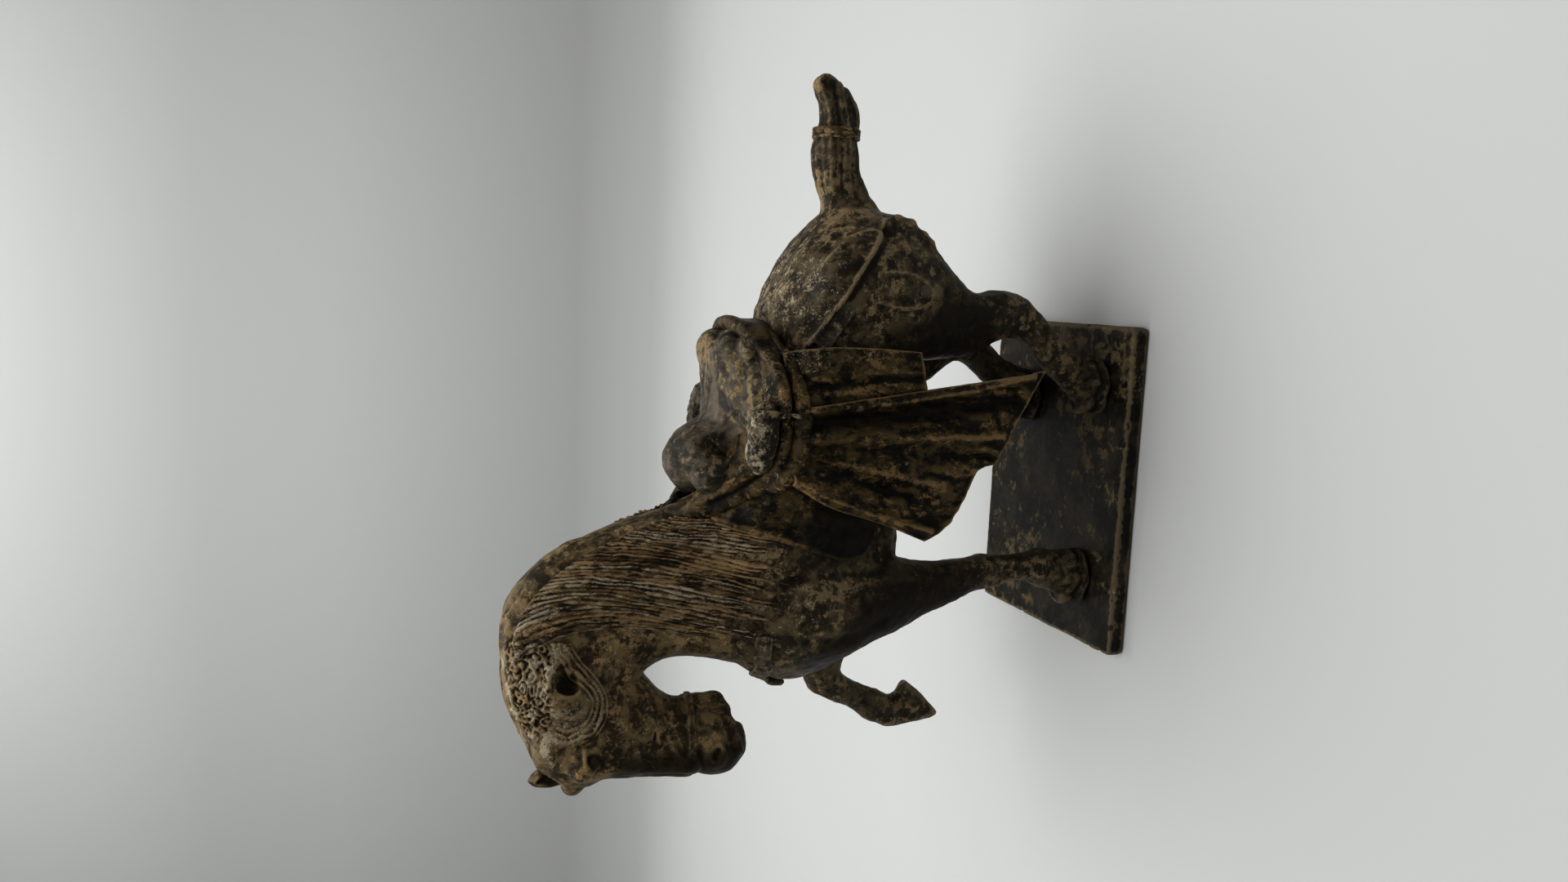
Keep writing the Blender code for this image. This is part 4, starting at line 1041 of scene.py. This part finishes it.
def add_seat():
    """The seat, with a pommel and a cantle of rounded lobes."""
    clay = Clay(*SADDLE_BOX, SADDLE_CELL).solid("saddle_seat")
    clay.egg((36, MID, 159), (32, 36, 15.5), soft=5)                           # seat and skirts
    clay.egg((10.5, MID, 180), (12.5, 19, 11.5), soft=7)                       # pommel
    for side in (-1, 1):
        clay.egg((4.6, MID + side * 17, 174.5), (8.8, 8.6, 12.5), soft=2)      # its shoulder
        clay.egg((54.5, MID + side * 13, 171.5), (8.0, 9.5, 6.4), soft=2.5)    # cantle lobe
        clay.egg((57, MID + side * 22, 167), (6, 7, 5), soft=1.5)
        clay.chain([(17, MID + side * 27, 168), (24, MID + side * 29, 166.5),
                    (38, MID + side * 30, 165.5), (52, MID + side * 25, 167)],
                   [1.0, 1.3, 1.3, 1.0], soft=3)                               # fold above the roll
    form = clay.ease(2).skin()
    form.push(bumps(form.points, 52, (0.4, 13), (0.1, 3.5)))
    form.weather()
    x, _, z = form.points.T
    # painted shade: the pommel's front face is made darker
    form.paint["crust_and_shade"] = 0.15 + 0.1 * fade(z, 165, 185) - 0.9 * fade(-x, -5, 3)
    place("seat", form, ["saddle_seat"], leather_iron)


def add_roll(label, side):
    """A small roll tied beside the seat; the right one lies higher and further in."""
    y = MID + side * ROLL_OUT
    ends = (y, y + side * 14)
    clay = Clay((2, min(ends) - 12, 143), (46, max(ends) + 12, 180), SADDLE_CELL)

    def rod(points, radii, soft, carve=False):
        clay.chain([(x, y + side * out, z) for x, out, z in points], radii, soft, carve)

    rod([(12.5, 0, 165.4), (17, 1, 165.8), (24, 1.4, 165.2), (30, 1, 164.4), (33.5, 0, 163.6)],
        [3.6, 5.6, 6.0, 5.6, 4.2], soft=0)
    rod([(8, 4.6, 163), (13, 6.6, 161.4), (22, 7.2, 160.4), (32, 6.6, 160.4)], [0.6, 0.9, 0.9, 0.6],
        soft=0.6, carve=True)
    for k in range(3 if side < 0 else 0):                  # the strap round its rear end
        rod([(31.5 + 0.9 * k + 0.6 * math.sin(a), 0.6 + 6.3 * math.sin(a), 164 + 6.3 * math.cos(a))
             for a in np.linspace(-0.5, 2.6, 9)], 0.75, soft=0.6)
    rod([(32.5, 6.0, 159), (33, 8.6, 155.5), (31.5, 8.4, 151)], [0.9, 1.0, 0.6], soft=0.5)
    form = clay.ease(1).skin()
    if side > 0:
        form.points += (2.1, -2.8, 3.5)
    mottled = 0.75 + bumps(form.points, 56, (0.5, 5))
    form.push(bumps(form.points, 54, (0.35, 6), (0.22, 2.2)))
    form.weather()
    form.paint["crust_and_shade"] = (0.95 if side < 0 else 0.2) * mottled * fade(form.points[:, 2], 161, 168)
    place(f"roll_{label}", form, [f"bedroll_{label}"], leather_iron)


# ---------------------------------------------------------------- cloth and harness

CLOTH_TOP = 150.5
CLOTH_OUT = 41.6                # from the middle plane to the top edge
CLOTH_FLARE = 0.07              # how much further out it hangs for each mm down
CLOTH_THICK = 2.0
CLOTH_SET_OUT = 1.2             # how far the cloth stands off those lines
# the hem's pale rows are wear and also a painted highlight along the edge
HEM_ROWS = 3                    # rows of the grid that wear along the hem
CREASE_STRETCH = (1, 1, 0.28)    # small creases run down the cloth
FRONT_PANEL = {                 # (x, z) edges; each fold is a route, a height and a width
    "top": [(5, 153), (35, 153)],
    "left": [(5, 153), (-3.5, 138), (-9.6, 118), (-17.5, 98)],
    "hem": [(-17.5, 98), (-14.5, 92), (-10, 87), (1, 80.8), (11, 77), (13, 73), (14, 68.5),
            (22, 64.5), (30, 61), (41, 55), (52, 49.5)],
    "right": [(35, 153), (39, 128), (42.5, 105), (47, 77), (52, 49.5)],
    "inset": 0.0,
    "folds": [([(9.5, 156), (1.5, 141), (-4.6, 125), (-9.2, 110), (-12.6, 97)], 4.6, 2.5),
              ([(14.5, 150), (7, 130), (0, 104)], -3.2, 3.0),
              ([(0.5, 150), (-6, 137), (-12, 118)], -1.5, 1.6),
              ([(17, 148), (11, 120), (5, 92)], 1.6, 2.6),
              ([(24, 150), (24.5, 110), (25.5, 68)], 3.2, 3.0),
              ([(19.5, 145), (17.5, 105), (17, 72)], -1.6, 2.6),
              ([(30, 146), (31.5, 118), (35, 92), (40, 62)], -2.8, 3.0),
              ([(34, 150), (38, 118), (42.5, 88), (49.5, 56)], 3.0, 2.2)],
}
REAR_PANEL = {
    "top": [(28, 154), (56, 157)],
    "left": [(28, 154), (33, 128), (38, 99)],
    "hem": [(38, 99), (47, 99.6), (58, 102)],
    "right": [(56, 157), (58.6, 142), (59, 122), (58, 102)],
    "inset": 3.0,
    "folds": [([(38, 152), (42, 126), (44, 100)], 1.2, 2.6),
              ([(46, 150), (49, 126), (50, 101)], 0.8, 2.4),
              ([(42, 152), (45.5, 126), (47, 101)], -0.9, 2.0),
              ([(47, 137), (53, 142), (60, 146)], 0.4, 2.0),
              ([(56.3, 125), (56.4, 124.6)], 0.8, 3.2)],
}
RUST_SPOT = (56.3, 125)
# a sunken fold of the cloth darkened with painted shade
SHADED_FOLD = ((31, 140), (33, 110), (38, 70))
BLANKET_EDGE = ((-12, 205), (-12, 181), (-19, 152), (-27, 130), (-26, 119), (-17, 112), (30, 109),
                (51, 113))
CRUPPER = ((59, -37.5, 146), (66, -38.2, 140.6), (75, -38.6, 135), (88, -37.4, 128.2), (104, -32, 121))
BLANKET_FOLDS = (((-14, 170), (-18, 145), (-19, 120)), ((-6, 165), (-9, 140), (-10, 116)))


def filled(panel, rows, columns):
    """A grid of (x, z) points inside a panel's four edges."""
    top, hem = sampled(panel["top"], columns), sampled(panel["hem"], columns)
    left, right = even(panel["left"], rows), even(panel["right"], rows)
    s = np.linspace(0, 1, columns)[None, :, None]
    t = np.linspace(0, 1, rows)[:, None, None]
    corners = (1 - t) * ((1 - s) * top[0] + s * top[-1]) + t * ((1 - s) * hem[0] + s * hem[-1])
    return (1 - t) * top[None] + t * hem[None] + (1 - s) * left[:, None] + s * right[:, None] - corners


def add_panel(name, panel, side, node, rows, columns):
    """One hanging panel, with its folds, small creases and a pale hem that is both wear and a painted
    highlight along its edge.
    """
    x, z = filled(panel, rows, columns).reshape(-1, 2).T
    at = np.stack([x, np.full(len(x), 20.0 * side), z], 1)
    down = np.maximum(CLOTH_TOP - z, 0)
    relief = np.zeros(len(x))
    for line, height, width in panel["folds"]:
        relief += height * (0.8 + 0.004 * down) * bell(gap_to(at, line, 4), width)
    out = CLOTH_OUT - panel["inset"] + CLOTH_FLARE * down + CLOTH_SET_OUT + relief
    out -= 4.2 * fade(z, 144.5, 153) * (1 - 0.5 * bell(x - 6, 5))
    out += bumps(at * CREASE_STRETCH, 60, (0.34, 5)) + bumps(at, 61, (0.22, 9), (0.07, 2))
    inner, outer = (np.stack([x, MID + side * (out + half), z], 1).reshape(rows, columns, 3)
                    for half in (-CLOTH_THICK / 2, CLOTH_THICK / 2))
    form = slab(inner, outer)
    form.weather(fine=3, broad=16)
    hem = np.zeros((rows, columns))
    # pale hem: wear, and a painted highlight along the edge
    hem[-HEM_ROWS:] = 0.4
    shown = hem.ravel() + np.clip(relief / 5, -0.5, 0.24) * (0.7 + bumps(at, 65, (0.9, 14)))
    form.wear(np.concatenate([shown] * 2), 1.3)
    # pale crust at the back top, and painted shade along the sunken fold
    crust_and_shade = 0.55 * fade(z, 132, 144) * fade(x, 44, 50) - 0.7 * bell(gap_to(at, SHADED_FOLD, 4), 5)
    if panel is REAR_PANEL:
        crust_and_shade += 0.6 * bell(np.hypot(x - RUST_SPOT[0], z - RUST_SPOT[1]), 3.4)
    form.paint["crust_and_shade"] = np.concatenate([crust_and_shade] * 2)
    place(name, form, [node], cloth_iron)


def add_cloths():
    for side, label in ((-1, "left"), (1, "right")):
        add_panel(f"panel_front_{label}", FRONT_PANEL, side, f"cloth_front_{label}", 190, 130)
        add_panel(f"panel_rear_{label}", REAR_PANEL, side, f"cloth_rear_{label}", 110, 60)
    clay = Clay(*box("saddle_blanket", 3), BLANKET_CELL).solid("saddle_blanket", grow=0.1)
    form = clay.ease(2).skin()
    p = form.points
    rise = 0.5 * bell(gap_to(p, BLANKET_EDGE, 4) - 1.3, 1.0) + bumps(p, 63, (0.2, 9), (0.07, 3))
    for fold in BLANKET_FOLDS:
        rise += 0.5 * bell(gap_to(p, fold, 4), 2.6)
    form.push(rise)
    form.weather()
    # painted shade on the front of the blanket, by the chest and under the saddle
    form.paint["crust_and_shade"] = -0.9 * bell(np.hypot(p[:, 0] + 14, p[:, 2] - 128), 22)
    place("blanket", form, ["saddle_blanket"], cloth_iron)


def add_trim(name, node, material, grow=0.25, detail=None, cell=STRAP_CELL):
    """A small fitting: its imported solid, softened, with detail worked into the clay."""
    low, high = box(node, 2.5)
    clay = Clay(low, high, cell).solid(node, grow=grow).ease(2)
    if detail:
        detail(clay, (low + high) / 2)
    form = clay.skin()
    form.push(bumps(form.points, 70, (0.14, 5), (0.08, 2)))
    form.weather()
    form.paint["crust_and_shade"] = np.full(len(form.points), 0.3)
    place(name, form, [node], material)


def full_turn(steps):
    return np.linspace(0, 2 * math.pi, steps)


def leaf_work(clay, middle):
    """A raised rim, a rib and side veins on a hanging leaf."""
    x, y, z = middle
    out = math.copysign(2.0, y - MID)
    clay.chain([(x + 5.0 * math.sin(a), y + out * 0.7, z + 10 * math.cos(a)) for a in full_turn(13)],
               0.7, soft=0.5)
    clay.chain([(x, y + out, z + 9), (x, y + out, z - 8)], 0.5, soft=0.5)
    for k in range(-2, 3):
        for lean in (-1, 1):
            clay.chain([(x, y + out, z + 3 * k - 1), (x + 3.6 * lean, y + out * 0.8, z + 3 * k + 1.6)],
                       0.38, soft=0.4)


def cord_work(clay, middle):
    """Turns of cord round the tail."""
    x, y, z = middle
    for k in range(-1, 2):
        clay.chain([(x + 1.5 * k, y + 7.8 * math.cos(a), z + 9.3 * math.sin(a)) for a in full_turn(15)],
                   0.9, soft=0.5)


def crupper_work(clay, middle):
    """The ridge along a crupper strap, on the side that middle is on."""
    left, right = both_sides(CRUPPER)
    clay.chain(left if middle[1] < MID else right, [0.45, 0.55, 0.55, 0.45, 0.3], soft=0.8)


def add_harness():
    for side in ("left", "right"):
        add_trim(f"strap_rump_{side}", f"crupper_{side}", leather_iron,
                 detail=crupper_work)
        add_trim(f"leaf_{side}", f"crupper_leaf_{side}", leather_iron,
                 detail=leaf_work, cell=FITTING_CELL)
    add_trim("strap_breast", "breast_strap", leather_iron)
    add_trim("pendant", "breast_pendant", leather_iron, cell=FITTING_CELL)
    add_trim("band_nose", "noseband", face_iron, grow=-0.15, cell=FITTING_CELL)
    add_trim("tie", "tail_tie", hair_iron, grow=-0.5, detail=cord_work, cell=CORD_CELL)


# ---------------------------------------------------------------- stage

# painted light and shade on the paper: darkest where the floor bends up, lighter up the wall
PAPER_LIGHT_AND_SHADE = (                 # height in metres and brightness
    (0.0, 0.57), (0.03, 0.40), (0.09, 0.33), (0.35, 0.51), (0.9, 0.74))
PAPER_TINT = (0.99, 1.0, 0.98)
FLOOR_FRONT, FLOOR_BACK, PAPER_SIDE, PAPER_BEND, PAPER_TOP = -2.5, 0.55, 3.0, 0.5, 3.0
LIGHTS = (                      # name, place, size in metres and power in watts
    ("sky_panel", (0.0, 0.16, 1.1), 1.7, 21),
    ("window_left", (-1.2, -0.1, 0.8), 0.8, 2.4),
    ("front_fill", (0.5, -1.4, 1.0), 1.0, 1.8))
LIGHT_TARGET = Vector((0, 0, 0.1))
ROOM_COLOUR = (0.95, 0.98, 1.0, 1)
ROOM_STRENGTH = 0.13
CAMERA_PITCH = math.radians(19.758)
CAMERA_YAW = math.radians(-7.879)
CAMERA_ROLL = math.radians(-0.201)
CAMERA_PLACE = (0.0792, -0.4548, 0.3058)
CAMERA_LENS = 26.25
CAMERA_SENSOR = 36
VIEW_GAMMA = 0.8


def backdrop_paper():
    look = Shading("backdrop_paper")
    split = look.node("ShaderNodeSeparateXYZ", {"Vector": look.spot})
    # the paper's brightness with height is painted light and shade
    light_and_shade = look.node("ShaderNodeValToRGB", {"Fac": split.outputs["Z"]})
    stops = light_and_shade.color_ramp.elements
    while len(stops) < len(PAPER_LIGHT_AND_SHADE):
        stops.new(0.5)
    for stop, (height, tone) in zip(stops, PAPER_LIGHT_AND_SHADE):
        stop.position = height
        stop.color = (*times(PAPER_TINT, tone), 1)
    look.fill(look.shader, {"Base Color": light_and_shade.outputs["Color"], "Roughness": 0.8,
                            "Specular IOR Level": 0.2})
    return look.material


def add_stage():
    """A pale floor that curves up into a pale wall, with painted shade where it bends and painted light
    higher up the wall.
    """
    profile = [(FLOOR_FRONT, 0.0)]
    profile += [(FLOOR_BACK + PAPER_BEND * math.sin(a), PAPER_BEND - PAPER_BEND * math.cos(a))
                for a in np.linspace(0, math.pi / 2, 24)]
    profile += [(FLOOR_BACK + PAPER_BEND, PAPER_TOP)]
    form = bmesh.new()
    left, right = ([form.verts.new((x, y, z)) for y, z in profile] for x in (-PAPER_SIDE, PAPER_SIDE))
    for a, b, c, d in zip(left, right, right[1:], left[1:]):
        form.faces.new((a, b, c, d))
    mesh = to_mesh("backdrop", form)
    mesh.shade_smooth()
    mesh.materials.append(backdrop_paper())
    linked("backdrop", mesh)


def add_lights():
    """Soft light from above, with a little from the side and the front."""
    for name, spot, size, power in LIGHTS:
        light = bpy.data.lights.new(name, "AREA")
        light.shape = "DISK"
        light.size = size
        light.energy = power
        lamp = linked(name, light)
        lamp.location = spot
        lamp.rotation_euler = (LIGHT_TARGET - Vector(spot)).to_track_quat("-Z", "Y").to_euler()
    world = bpy.data.worlds.new("room")
    bpy.context.scene.world = world
    world.use_nodes = True
    back = world.node_tree.nodes["Background"]
    back.inputs["Color"].default_value = ROOM_COLOUR
    back.inputs["Strength"].default_value = ROOM_STRENGTH
    bpy.context.scene.view_settings.view_transform = "Standard"
    bpy.context.scene.view_settings.gamma = VIEW_GAMMA


def add_camera():
    """The photograph's camera, turned on its side as the photograph is."""
    turns = ((CAMERA_ROLL, "Y"), (CAMERA_PITCH, "X"), (CAMERA_YAW, "Z"))
    roll, pitch, yaw = (Matrix.Rotation(angle, 3, axis) for angle, axis in turns)
    right, ahead, up = roll @ pitch @ yaw
    data = bpy.data.cameras.new("camera")
    data.sensor_fit = "HORIZONTAL"
    data.sensor_width = CAMERA_SENSOR
    data.lens = CAMERA_LENS
    data.clip_start = 0.01
    camera = linked("camera", data)
    axes = Matrix((-up, right, -ahead)).transposed()
    camera.matrix_world = Matrix.Translation(CAMERA_PLACE) @ axes.to_4x4()
    bpy.context.scene.camera = camera


add_camera()
add_stage()
add_lights()
body = add_body()
front = add_front()
skin = surface(body, front)
add_mane("mane_fall_left", 1, skin)
add_mane("mane_fall_right", -1, skin)
add_pad()
add_seat()
add_roll("left", -1)
add_roll("right", 1)
add_cloths()
add_harness()
add_plate()
for node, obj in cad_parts.items():
    obj.data.materials.clear()
    obj.data.materials.append(steel if node.startswith("hoof_screw") else iron)
